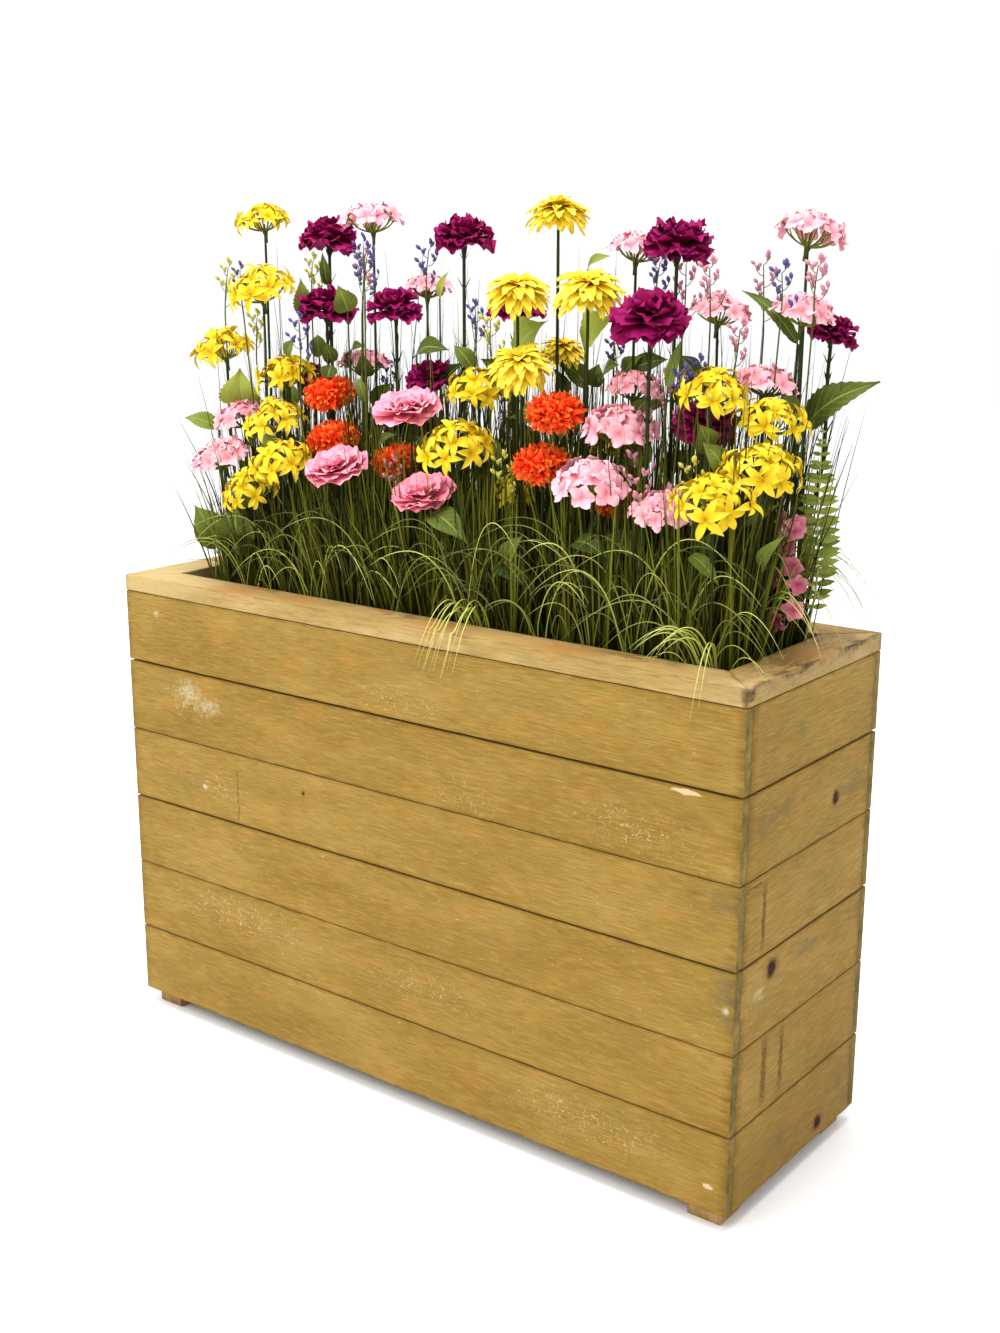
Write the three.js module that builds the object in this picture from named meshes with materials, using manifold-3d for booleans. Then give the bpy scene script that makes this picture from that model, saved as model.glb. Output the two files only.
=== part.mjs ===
import * as THREE from 'three';
import { mergeVertices } from 'three/addons/utils/BufferGeometryUtils.js';
import Module from 'manifold-3d';

// A long timber window box that stands on four short feet, planted with grasses and summer flowers.
// Millimetres, +Z up. The origin is on the ground under the middle of the box. +X runs along its
// length and its front face looks towards -Y.

// Driving dimensions of the box
const boxLength = 1000;
const boxWidth = 332;
const boardThickness = 14;
const boardHeight = 101;
const boardSeam = 1.4;
const boardArris = 1.5;
const courses = 6;
const footHeight = 23;
const postSide = 45;
const capWidth = 55;
const capThickness = 22;
const mitreGap = 0.3;
const bearerWidth = 45;
const bearerHeight = 22;
const floorThickness = 18;
const drainRadius = 7;
const drainPitch = 260;
const drainSides = 10;

// Driving dimensions of the planting
const soilBelowRim = 72;
const soilClearance = 0.5;
const crownSide = 52;
const crownDepth = 60;
const crownPitch = 88;
const crownRowY = 48;
const holeClearance = 0.4;
const grassRowY = 97;
const grassRowWidth = 24;
const grassRowLength = 800;
const stemRadius = 1.9;
const stemKnee = 130;

// Sizes worked out from the driving dimensions
const coursePitch = boardHeight + boardSeam;
const capUnderside = footHeight + courses * coursePitch - boardSeam;
const rimHeight = capUnderside + capThickness;
const innerLength = boxLength - 2 * boardThickness;
const innerWidth = boxWidth - 2 * boardThickness;
const floorTop = footHeight + bearerHeight + floorThickness;
const soilTop = rimHeight - soilBelowRim;
const fullTurn = 2 * Math.PI;

// Colours
const colours = {
  board: 0xbe984e,
  cap: 0xc8a564,
  post: 0xb08a4a,
  floor: 0xb59a6a,
  soil: 0x3a2a1c,
  grass: 0x7f8f2c,
  leaf: 0x5f7a28,
  fern: 0x7d8c3a,
  lily: 0xfae132,
  dahlia: 0xfad71e,
  carnation: 0x960f64,
  floret: 0xf5afbe,
  rose: 0xf5b4c8,
  pompon: 0xf04b19,
  sprig: 0x6a5a9a,
};

const wasm = await Module();
wasm.setup();

const group = new THREE.Group();

function addMesh(name, geometry, colour, roughness = 0.8) {
  const material = new THREE.MeshStandardMaterial({ color: colour, roughness, metalness: 0 });
  const mesh = new THREE.Mesh(geometry, material);
  mesh.name = name;
  group.add(mesh);
  return mesh;
}

// Joining and cutting closed solids
function toSolid(geometry) {
  const bare = new THREE.BufferGeometry();
  bare.setAttribute('position', geometry.getAttribute('position').clone());
  bare.setIndex(geometry.getIndex());
  const merged = mergeVertices(bare, 1e-4);
  const vertProperties = new Float32Array(merged.getAttribute('position').array);
  const triVerts = new Uint32Array(merged.getIndex().array);
  return new wasm.Manifold(new wasm.Mesh({ numProp: 3, vertProperties, triVerts }));
}

function toGeometry(solid) {
  const mesh = solid.getMesh();
  const geometry = new THREE.BufferGeometry();
  geometry.setAttribute('position', new THREE.BufferAttribute(mesh.vertProperties, 3));
  geometry.setIndex(new THREE.BufferAttribute(mesh.triVerts, 1));
  geometry.computeVertexNormals();
  return geometry;
}

function fuse(geometries) {
  return geometries.map(toSolid).reduce((whole, piece) => whole.add(piece));
}

// A seeded draw, so that the planting is the same each time
function drawFrom(seed) {
  let state = seed;
  return (low, high) => {
    state = (state * 1664525 + 1013904223) % 4294967296;
    return low + (high - low) * (state / 4294967296);
  };
}

// A closed solid from its corners and triangles, turned the right way out if it needs to be
function closedSolid(corners, triangles) {
  const volume = triangles.reduce((sum, [a, b, c]) => {
    const normal = new THREE.Vector3().crossVectors(corners[b], corners[c]);
    return sum + corners[a].dot(normal);
  }, 0);
  const faces = volume > 0 ? triangles : triangles.map(([a, b, c]) => [a, c, b]);
  const geometry = new THREE.BufferGeometry();
  const places = corners.flatMap((corner) => corner.toArray());
  geometry.setAttribute('position', new THREE.Float32BufferAttribute(places, 3));
  geometry.setIndex(faces.flat());
  return geometry;
}

// A closed blade or stem along a line of points. At each point its section is a polygon, as wide and
// as deep as the two lists say, with its flat side turned to `facing`. A width of 0 makes a tip.
function blade(line, widths, depths, facing, sides = 4) {
  const corners = [];
  const rings = line.map((point, i) => {
    const ahead = line[Math.min(i + 1, line.length - 1)];
    const behind = line[Math.max(i - 1, 0)];
    const along = new THREE.Vector3().subVectors(ahead, behind).normalize();
    const across = new THREE.Vector3().crossVectors(along, facing).normalize();
    const out = new THREE.Vector3().crossVectors(across, along).normalize();
    const first = corners.length;
    if (widths[i] === 0) {
      corners.push(point.clone());
      return { first, count: 1 };
    }
    for (let k = 0; k < sides; k += 1) {
      const angle = (fullTurn * k) / sides;
      const corner = point.clone();
      corner.addScaledVector(across, (Math.cos(angle) * widths[i]) / 2);
      corner.addScaledVector(out, (Math.sin(angle) * depths[i]) / 2);
      corners.push(corner);
    }
    return { first, count: sides };
  });

  const triangles = [];
  const addCap = ({ first, count }, flipped) => {
    for (let k = 1; k + 1 < count; k += 1) {
      const cap = [first, first + k + 1, first + k];
      triangles.push(flipped ? [cap[0], cap[2], cap[1]] : cap);
    }
  };
  addCap(rings[0], false);
  for (let i = 0; i + 1 < rings.length; i += 1) {
    const low = rings[i];
    const high = rings[i + 1];
    for (let k = 0; k < sides; k += 1) {
      const next = (k + 1) % sides;
      if (low.count === 1) {
        triangles.push([low.first, high.first + next, high.first + k]);
      } else if (high.count === 1) {
        triangles.push([low.first + k, low.first + next, high.first]);
      } else {
        // Both faces of a blade are split alike, so that a bend can't make them cross
        const [a, b] = [low.first + k, low.first + next];
        const [c, d] = [high.first + next, high.first + k];
        const mirrored = k >= sides / 2;
        triangles.push(mirrored ? [a, b, d] : [a, b, c]);
        triangles.push(mirrored ? [b, c, d] : [a, c, d]);
      }
    }
  }
  addCap(rings[rings.length - 1], true);
  return closedSolid(corners, triangles);
}

const stemFacing = new THREE.Vector3(0.31, -0.95, 0);

function stem(line) {
  const wide = line.map(() => 2 * stemRadius);
  return blade(line, wide, wide, stemFacing, 3);
}

// A stem whose top swells into a small hub, which the stalks of an umbel grow from
const hubWidth = 7.5;
const hubHeight = 3;
const hubTip = 7;

function hubbedStem(line) {
  const top = line[line.length - 1];
  const hub = top.clone().setZ(top.z + hubHeight);
  const tip = top.clone().setZ(top.z + hubTip);
  const widths = [...line.map(() => 2 * stemRadius), hubWidth, 0];
  return blade([...line, hub, tip], widths, widths, stemFacing, 3);
}

// Flower heads. Each stands on the origin, looks up +Z and is `width` across. The edge of a petal is
// a list of corners, each as a share of the way to the next petal, a radius and a height.
const pointedPetal = [[0, 0.36, 0.1], [0.5, 1, 1]];
const roundPetal = [[0, 0.44, 0], [0.24, 0.97, 0.9], [0.76, 0.97, 0.9]];

// One floret on a short stalk. Its petals are a thin disc, and its underside draws in to the stalk.
function floret({ petals, edge, radius, rise, middle, root, outwards, turn }) {
  const turned = new THREE.Quaternion().setFromUnitVectors(new THREE.Vector3(0, 0, 1), outwards);
  const put = (x, y, z) => new THREE.Vector3(x, y, z).applyQuaternion(turned).add(middle);
  const corners = [];
  for (let petal = 0; petal < petals; petal += 1) {
    for (const [share, reach, lift] of edge) {
      const angle = (fullTurn * (petal + share)) / petals + turn;
      const out = radius * reach;
      corners.push(put(Math.cos(angle) * out, Math.sin(angle) * out, rise * lift));
    }
  }
  const rim = corners.length;
  const neckSides = 3;
  const neckRadius = 1.3;
  const neckDepth = 2;
  const throatHeight = 1.2;
  for (let k = 0; k < neckSides; k += 1) {
    const angle = (fullTurn * (k + 0.5)) / neckSides + turn;
    corners.push(put(Math.cos(angle) * neckRadius, Math.sin(angle) * neckRadius, -neckDepth));
  }
  const throat = corners.push(put(0, 0, throatHeight)) - 1;
  const rootCorner = corners.push(root) - 1;
  const neckOf = (i) => rim + Math.floor((neckSides * (i % rim)) / rim);
  const triangles = [];
  for (let i = 0; i < rim; i += 1) {
    const next = (i + 1) % rim;
    triangles.push([throat, i, next]);
    triangles.push([neckOf(i), next, i]);
    if (neckOf(i) !== neckOf(next)) triangles.push([neckOf(i), neckOf(next), next]);
  }
  for (let k = 0; k < neckSides; k += 1) {
    triangles.push([rootCorner, rim + ((k + 1) % neckSides), rim + k]);
  }
  return closedSolid(corners, triangles);
}

// Florets on stalks that spread from the hub, one upright and the rest in a round about it. The heights
// are shares of the umbel's width, and the overhang and cup are shares of a floret's radius.
const umbelShape = { top: 0.42, round: 0.19, step: 0.04, overhang: 0.72, cup: 0.35, topTilt: 0.12 };

function umbel(width, { petals, edge, floretShare, around, droop }) {
  const radius = (width * floretShare) / 2;
  const reach = width / 2 - radius * umbelShape.overhang;
  const pieces = [];
  for (let i = 0; i <= around; i += 1) {
    const top = i === around;
    const angle = (fullTurn * i) / around + 0.4;
    const tilt = top ? umbelShape.topTilt : droop;
    const spread = top ? umbelShape.step * width : reach;
    const round = new THREE.Vector3(Math.cos(angle), Math.sin(angle), 0);
    const outwards = round.clone().multiplyScalar(Math.sin(tilt)).setZ(Math.cos(tilt));
    const height = width * (top ? umbelShape.top : umbelShape.round + umbelShape.step * (i % 2));
    const middle = round.clone().multiplyScalar(spread).setZ(height);
    const root = round.clone().multiplyScalar(0.5).setZ(1.5);
    const rise = -radius * umbelShape.cup;
    pieces.push(floret({ petals, edge, radius, rise, middle, root, outwards, turn: i }));
  }
  return pieces;
}

function lilyHead(width) {
  return umbel(width, { petals: 6, edge: pointedPetal, floretShare: 0.54, around: 3, droop: 0.75 });
}

function floretHead(width) {
  return umbel(width, { petals: 5, edge: roundPetal, floretShare: 0.54, around: 3, droop: 0.6 });
}

// Rounds of petals in one solid, each smaller and higher than the one below it. A layer is the reach
// of its petals, their height at the tips, and the height of the narrow neck above it, as shares of
// the head's radius. Every second layer is turned by half a petal.
const calyxRadius = 3.4;
const layerNeckRadius = 3;

function layeredHead(width, { petals, notch, ruffle, layers }) {
  const radius = width / 2;
  const corners = [];
  const triangles = [];
  const addRing = (count, place) => {
    const first = corners.length;
    for (let j = 0; j < count; j += 1) {
      const angle = (fullTurn * j) / count;
      const [out, height] = place(j);
      corners.push(new THREE.Vector3(Math.cos(angle) * out, Math.sin(angle) * out, height));
    }
    return first;
  };
  const join = (neck, rim, upwards) => {
    for (let i = 0; i < petals; i += 1) {
      const [n, m] = [neck + i, neck + ((i + 1) % petals)];
      const [r, s, t] = [rim + 2 * i, rim + 2 * i + 1, rim + ((2 * i + 2) % (2 * petals))];
      const faces = [[n, r, s], [n, s, m], [m, s, t]];
      triangles.push(...(upwards ? faces.map(([a, b, c]) => [a, c, b]) : faces));
    }
  };
  const calyx = addRing(petals, () => [calyxRadius, -1]);
  for (let i = 1; i + 1 < petals; i += 1) triangles.push([calyx, calyx + i + 1, calyx + i]);
  let neck = calyx;
  layers.forEach(([reach, tipHeight, neckHeight], layer) => {
    const rim = addRing(2 * petals, (j) => {
      const tip = (j + layer) % 2 === 1;
      const wave = ruffle * radius * (tip ? 0.5 : -0.5);
      return [radius * reach * (tip ? 1 : notch), radius * tipHeight + wave];
    });
    join(neck, rim, true);
    const above = addRing(petals, () => [layerNeckRadius, radius * neckHeight]);
    join(above, rim, false);
    neck = above;
  });
  const top = corners.push(new THREE.Vector3(0, 0, corners[neck].z + 1)) - 1;
  for (let i = 0; i < petals; i += 1) triangles.push([top, neck + i, neck + ((i + 1) % petals)]);
  return [closedSolid(corners, triangles)];
}

function carnationHead(width) {
  const layers = [[1, 0.16, 0.24], [0.84, 0.42, 0.36], [0.52, 0.6, 0.46]];
  return layeredHead(width, { petals: 7, notch: 0.8, ruffle: 0.1, layers });
}

function dahliaHead(width) {
  const layers = [[1, -0.1, 0.26], [0.86, 0.2, 0.38], [0.5, 0.46, 0.48]];
  return layeredHead(width, { petals: 8, notch: 0.62, ruffle: 0, layers });
}

// A ball of short pointed florets, a little flattened, whose middle is above the top of its stem
const pomponFlattening = 0.84;
const pomponMiddle = 0.6;

function pomponHead(width) {
  const ball = new THREE.OctahedronGeometry(1, 2);
  const place = ball.getAttribute('position');
  const coreShare = 0.76;
  const corners = [];
  const triangles = [];
  for (let i = 0; i < place.count; i += 3) {
    const base = [0, 1, 2].map((k) => new THREE.Vector3().fromBufferAttribute(place, i + k));
    const tip = new THREE.Vector3().add(base[0]).add(base[1]).add(base[2]).normalize();
    const first = corners.length;
    corners.push(...base.map((corner) => corner.multiplyScalar(coreShare)), tip);
    for (let k = 0; k < 3; k += 1) triangles.push([first + k, first + ((k + 1) % 3), first + 3]);
  }
  const geometry = closedSolid(corners, triangles);
  const radius = width / 2;
  geometry.scale(radius, radius, radius * pomponFlattening);
  geometry.translate(0, 0, radius * pomponMiddle);
  return [geometry];
}

// A thin stem whose last stretch is set with small buds, to one side and the other in turn
const budWidth = 8.5;
const budNeck = 1.8;
const budTip = 9;

function sprig(line, length) {
  const foot = line[line.length - 1];
  const buds = 6;
  const points = line.slice(0, -1);
  const widths = points.map(() => 2 * stemRadius);
  for (let i = 0; i < buds; i += 1) {
    const height = foot.z + (length * i) / (buds - 1);
    const side = i % 2 === 0 ? 1 : -1;
    points.push(new THREE.Vector3(foot.x, foot.y, height - 5));
    widths.push(budNeck);
    points.push(new THREE.Vector3(foot.x + budNeck * side, foot.y, height + 2));
    widths.push(budWidth);
  }
  points.push(new THREE.Vector3(foot.x, foot.y, foot.z + length + budTip));
  widths.push(0);
  return blade(points, widths, widths, stemFacing, 3);
}

// A leaf on its stem: the stem runs on as the leaf's rib, and the leaf is a pointed oval, arched
const leafStemWidth = 3.2;
const leafThickness = 1.8;
const leafArch = 0.16;
const leafFacing = new THREE.Vector3(0.3, -0.42, 0.85);

function leafOnStem(line, tip, width) {
  const foot = line[line.length - 1];
  const shares = [0.2, 0.52, 0.8, 1];
  const swell = [0.74, 1, 0.56, 0];
  const length = foot.distanceTo(tip);
  const points = [...line];
  const widths = line.map(() => leafStemWidth);
  const depths = [...widths];
  shares.forEach((share, i) => {
    const point = new THREE.Vector3().lerpVectors(foot, tip, share);
    point.z += leafArch * length * Math.sin(Math.PI * share);
    points.push(point);
    widths.push(swell[i] * width);
    depths.push(swell[i] === 0 ? 0 : leafThickness);
  });
  return blade(points, widths, depths, leafFacing);
}

// Planting. Each plant grows from a square block of roots in the soil. The blocks stand in two rows.
const frontRow = ['florets_left', 'lilies_left', 'sprigs_left', 'pompons_left', 'roses',
  'lilies_middle', 'pompons_right', 'florets_middle', 'sprigs_right', 'lilies_right'];
const backRow = ['leaves_left', 'lilies_tall', 'carnations_left', 'florets_tall', 'carnations_middle',
  'leaves_middle', 'dahlias', 'carnations_right', 'leaves_right', 'florets_right'];

// Each head's place as [x, y, height of the top of its stem above the soil, width]
const heads = {
  lilies_tall: [[-367, 0, 543, 70], [-332, -42, 449, 88], [-303, -30, 337, 78], [-434, -18, 367, 80]],
  lilies_left: [[-290, -64, 281, 78], [-243, -104, 231, 82], [-298, -106, 189, 76]],
  lilies_middle: [[18, -14, 333, 82], [46, -92, 271, 86], [68, 0, 209, 66]],
  lilies_right: [[364, -30, 351, 82], [426, -4, 323, 74], [438, -42, 271, 84], [410, -98, 241, 86]],
  carnations_left: [[-294, 50, 521, 84], [-264, 10, 429, 84], [-352, 54, 333, 64], [-190, 94, 271, 74]],
  carnations_middle: [[-133, 2, 433, 76], [-36, 24, 521, 82], [-88, 20, 343, 74], [24, 54, 437, 74]],
  carnations_right: [[280, 24, 515, 86], [300, -62, 433, 92], [336, 2, 315, 80], [438, 112, 420, 60]],
  dahlias: [[119, 12, 561, 78], [100, -44, 469, 80], [196, -34, 472, 84], [114, -54, 383, 80],
    [106, 44, 396, 62], [150, 102, 277, 72]],
  florets_left: [[-374, -84, 225, 84], [-378, -40, 277, 76]],
  florets_tall: [[-186, 20, 541, 82], [-132, 66, 457, 66], [-242, 62, 351, 72]],
  florets_middle: [[252, -42, 301, 92], [248, -94, 243, 94], [332, -76, 221, 76], [218, 34, 345, 72],
    [198, 64, 507, 72]],
  florets_right: [[412, 92, 525, 84], [430, 52, 439, 74], [322, 50, 437, 74], [396, 34, 359, 74]],
  roses: [[-47, -70, 309, 88], [-144, -98, 229, 88], [-6, -92, 207, 84]],
  pompons_left: [[-231, -20, 314, 66], [-205, -40, 257, 66], [-104, -30, 234, 62]],
  pompons_right: [[165, -52, 316, 66], [152, -60, 254, 66], [222, -12, 214, 56]],
  sprigs_left: [[-178, -14, 435, 80], [-136, -54, 455, 70], [-253, -56, 355, 70]],
  sprigs_right: [[262, 70, 425, 80], [290, -6, 305, 70], [360, 92, 425, 80]],
};

const headMakers = {
  lilies: lilyHead,
  dahlias: dahliaHead,
  carnations: carnationHead,
  florets: floretHead,
  roses: carnationHead,
  pompons: pomponHead,
};

const headColours = {
  lilies: colours.lily,
  dahlias: colours.dahlia,
  carnations: colours.carnation,
  florets: colours.floret,
  roses: colours.rose,
  pompons: colours.pompon,
  sprigs: colours.sprig,
  leaves: colours.leaf,
};

// Broad leaves, each as [base of the blade, tip, width], with heights above the soil
const broadLeaves = {
  leaves_left: [
    [[-414, 2, 315], [-404, -14, 361], 40],
    [[-424, -46, 263], [-476, -64, 287], 26],
    [[-300, 96, 185], [-262, 128, 231], 44],
    [[-420, 30, 145], [-458, 8, 187], 42],
    [[-312, 22, 431], [-302, 0, 481], 28],
  ],
  leaves_middle: [
    [[66, 22, 381], [46, 2, 437], 26],
    [[80, 18, 275], [50, 12, 315], 30],
    [[-10, 96, 325], [-58, 120, 369], 36],
    [[92, 92, 185], [126, 134, 225], 44],
    [[4, 38, 215], [-14, 2, 245], 32],
  ],
  leaves_right: [
    [[172, 34, 405], [196, 8, 443], 30],
    [[374, 76, 485], [388, 58, 411], 20],
    [[422, 88, 323], [509, 96, 378], 34],
    [[352, 108, 245], [400, 140, 285], 40],
  ],
};

function crownPlace(name) {
  const row = frontRow.includes(name) ? frontRow : backRow;
  const x = (row.indexOf(name) - (row.length - 1) / 2) * crownPitch;
  return new THREE.Vector3(x, row === frontRow ? -crownRowY : crownRowY, soilTop);
}

// A stem leaves its crown, bends over low down and then stands almost upright under its head
function stemLine(crown, foot) {
  const away = new THREE.Vector3(foot.x - crown.x, foot.y - crown.y, 0);
  const start = crown.clone().add(away.clone().clampLength(0, crownSide / 2 - 8));
  start.z = soilTop - 4;
  const knee = crown.clone().addScaledVector(away, 0.9);
  knee.z = soilTop + stemKnee + 0.3 * away.length();
  return [start, knee, foot];
}

// Heads lean a little out of the box, towards the side that they are nearer to
function headTurn(x, y) {
  const lean = new THREE.Vector3(x / boxLength, (2.2 * y) / boxWidth - 0.12, 2.4).normalize();
  return new THREE.Quaternion().setFromUnitVectors(new THREE.Vector3(0, 0, 1), lean);
}

// The block of roots that a plant's stems rise from, its top just clear of the soil
function crownBlock({ x, y }, side) {
  const block = new THREE.BoxGeometry(side, side, crownDepth);
  return block.translate(x, y, soilTop + 1 - crownDepth / 2);
}

// A pair of narrow leaves, one blade from tip to tip, part of the way up a carnation's stem
const pair = { share: 0.7, reach: 26, rise: 22, width: 7, depth: 2.4 };

function pairedLeaves(line) {
  const middle = new THREE.Vector3().lerpVectors(line[1], line[2], pair.share);
  const tips = [-1, 1].map((side) => middle.clone().add(new THREE.Vector3(side * pair.reach, 5, pair.rise)));
  const facing = new THREE.Vector3(0, 0.3, 1);
  return [blade([tips[0], middle, tips[1]], [0, pair.width, 0], [0, pair.depth, 0], facing, 3)];
}

// Space that plants take, as balls, which the grass is drawn clear of
const taken = [];

function takeAlong(line, reach) {
  for (let i = 0; i + 1 < line.length; i += 1) {
    const steps = Math.ceil(line[i].distanceTo(line[i + 1]) / 6);
    for (let k = 0; k <= steps; k += 1) {
      taken.push({ at: new THREE.Vector3().lerpVectors(line[i], line[i + 1], k / steps), reach });
    }
  }
}

function flowerPlant(name) {
  const kind = name.split('_')[0];
  const crown = crownPlace(name);
  const pieces = [crownBlock(crown, crownSide)];
  for (const [x, y, height, width] of heads[name]) {
    const foot = new THREE.Vector3(x, y, soilTop + height);
    const line = stemLine(crown, foot);
    takeAlong(line, stemRadius + 1);
    if (kind === 'sprigs') {
      pieces.push(sprig(line, width));
      takeAlong([foot, foot.clone().setZ(foot.z + width)], 8);
      continue;
    }
    const turn = headTurn(x, y);
    const hasHub = kind === 'lilies' || kind === 'florets';
    const inside = new THREE.Vector3(0, 0, kind === 'pompons' ? 0.2 * width : 3);
    const end = foot.clone().add(inside.applyQuaternion(turn));
    pieces.push(hasHub ? hubbedStem(line) : stem([...line.slice(0, -1), end]));
    for (const piece of headMakers[kind](width)) {
      piece.applyQuaternion(turn);
      piece.translate(x, y, foot.z);
      pieces.push(piece);
    }
    const middle = new THREE.Vector3(0, 0, width * 0.25).applyQuaternion(turn).add(foot);
    taken.push({ at: middle, reach: width / 2 });
    if (kind === 'carnations') pieces.push(...pairedLeaves(line));
  }
  return pieces;
}

// Single florets down a stem that arches over near the right-hand end and hangs, each as its share of
// the way along it and the side that it looks to
const trailing = [[0.62, 1], [0.74, -1], [0.84, 1], [0.93, -1], [1, 1]];
const trailingRadius = 17;
const trailingStalk = 9;

function trailingFlorets() {
  const crown = crownPlace('florets_right');
  const arch = new THREE.CatmullRomCurve3([
    crown.clone().add(new THREE.Vector3(20, -8, -6)),
    new THREE.Vector3(426, 30, soilTop + 125),
    new THREE.Vector3(440, 26, soilTop + 217),
    new THREE.Vector3(452, 18, soilTop + 185),
    new THREE.Vector3(456, 12, soilTop + 115),
  ]);
  const line = arch.getPoints(6);
  takeAlong(line, trailingRadius + 5);
  const pieces = [stem(line)];
  for (const [share, side] of trailing) {
    const at = arch.getPoint(share);
    const outwards = new THREE.Vector3(0.45 * side, -0.8, 0.4).normalize();
    const petals = floret({
      petals: 5,
      edge: roundPetal,
      radius: trailingRadius,
      rise: -5,
      middle: outwards.clone().multiplyScalar(trailingStalk),
      root: new THREE.Vector3(),
      outwards,
      turn: side,
    });
    petals.translate(at.x, at.y, at.z);
    pieces.push(petals);
  }
  return pieces;
}

function leafPlant(name) {
  const crown = crownPlace(name);
  const pieces = [crownBlock(crown, crownSide)];
  for (const [base, tip, width] of broadLeaves[name]) {
    const [foot, end] = [base, tip].map(([x, y, height]) => new THREE.Vector3(x, y, soilTop + height));
    const line = stemLine(crown, foot);
    pieces.push(leafOnStem(line, end, width));
    takeAlong(line, stemRadius + 1);
    takeAlong([foot, end], width / 2);
  }
  return pieces;
}

// One fern frond at the right-hand end, with its leaflets in pairs up the rib
const fernCrown = new THREE.Vector3(420, 86, soilTop);
const fernCrownSide = 18;
const fernPairs = 15;
const fernStemWidth = 3.2;
const fernThickness = 1.8;
const fernSpread = 46;
const fernFacing = new THREE.Vector3(0.45, -0.9, 0.1);

function fernPlant() {
  const rib = new THREE.CatmullRomCurve3([
    fernCrown.clone().add(new THREE.Vector3(0, 0, -6)),
    new THREE.Vector3(448, 88, soilTop + 125),
    new THREE.Vector3(466, 60, soilTop + 225),
    new THREE.Vector3(474, 54, soilTop + 327),
  ]);
  const bareShare = 0.34;
  const pitch = (1 - bareShare) / fernPairs;
  const points = [rib.getPoint(0), rib.getPoint(bareShare / 2)];
  const widths = [fernStemWidth, fernStemWidth];
  for (let i = 0; i < fernPairs; i += 1) {
    const notch = bareShare + i * pitch;
    const spread = fernSpread * (1.12 - notch) + 6;
    points.push(rib.getPoint(notch), rib.getPoint(notch + 0.62 * pitch));
    widths.push(fernStemWidth, spread);
  }
  points.push(rib.getPoint(1));
  widths.push(0);
  const depths = widths.map((width) => Math.min(width, fernThickness));
  takeAlong(rib.getPoints(6), fernSpread / 2);
  return [crownBlock(fernCrown, fernCrownSide), blade(points, widths, depths, fernFacing)];
}

// Grass grows in three long rows of turf. A blade's line is drawn again until it is clear of the flowers.
// The heights are above the soil.
const drawsPerBlade = 30;
const grassClearance = 3.5;
const uprightSection = { widths: [6, 5, 0], depths: [2.4, 2, 0] };
const weepingSection = { widths: [5, 4.6, 4, 0], depths: [2, 1.8, 1.6, 0] };
const weepingEachRow = 8;
const uprightHeight = [170, 330];
const weepingTop = [150, 190];
const weepingTip = [70, 96];
const overSide = [30, 36];
const overEnd = [6, 12];

function isFree(line) {
  const clear = (point) => taken.every(({ at, reach }) => point.distanceTo(at) > reach + grassClearance);
  return line.every(clear);
}

function pointsAlong(line, spacing) {
  const points = [];
  for (let i = 0; i + 1 < line.length; i += 1) {
    const steps = Math.ceil(line[i].distanceTo(line[i + 1]) / spacing);
    for (let k = 0; k < steps; k += 1) {
      points.push(new THREE.Vector3().lerpVectors(line[i], line[i + 1], k / steps));
    }
  }
  points.push(line[line.length - 1]);
  return points;
}

// A blade whose line is clear of the flowers, or nothing where no draw finds one
function grassBlade(drawLine, { widths, depths }, facing) {
  for (let i = 0; i < drawsPerBlade; i += 1) {
    const line = drawLine();
    if (isFree(pointsAlong(line, 6))) return [blade(line, widths, depths, facing, 3)];
  }
  return [];
}

function uprightLine(draw, rowY, share) {
  const x = (share - 0.5) * (grassRowLength - 12) + draw(-3, 3);
  const y = rowY + draw(-0.5, 0.5) * (grassRowWidth - 10);
  const height = draw(...uprightHeight);
  const leanX = draw(-20, 20) + 50 * (x / grassRowLength);
  const leanY = draw(-22, 22);
  return [
    new THREE.Vector3(x, y, soilTop - 4),
    new THREE.Vector3(x + 0.3 * leanX, y + 0.3 * leanY, soilTop + 0.5 * height),
    new THREE.Vector3(x + leanX, y + leanY, soilTop + height),
  ];
}

// A long thin blade that rises inside the rim, arches over it and hangs outside the box
function weepingLine(draw, root, tip) {
  const top = draw(...weepingTop);
  const at = (share, height) => new THREE.Vector3().lerpVectors(root, tip, share).setZ(soilTop + height);
  return [at(0, -4), at(0.12, 0.8 * top), at(0.6, top), at(1, draw(...weepingTip))];
}

// From a long row the weeping blades hang over the front or the back
function weepOverSide(draw, rowY) {
  const x = draw(-0.48, 0.48) * grassRowLength;
  const hangY = Math.sign(rowY) * (boxWidth / 2 + draw(...overSide));
  return weepingLine(draw, new THREE.Vector3(x, rowY), new THREE.Vector3(x + draw(-40, 40), hangY));
}

// From the middle row they hang over the ends
function weepOverEnd(draw, end) {
  const x = end * (grassRowLength / 2 - draw(6, 40));
  const y = draw(-8, 8);
  const hangX = end * (boxLength / 2 + draw(...overEnd));
  return weepingLine(draw, new THREE.Vector3(x, y), new THREE.Vector3(hangX, y + draw(-40, 40)));
}

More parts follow.
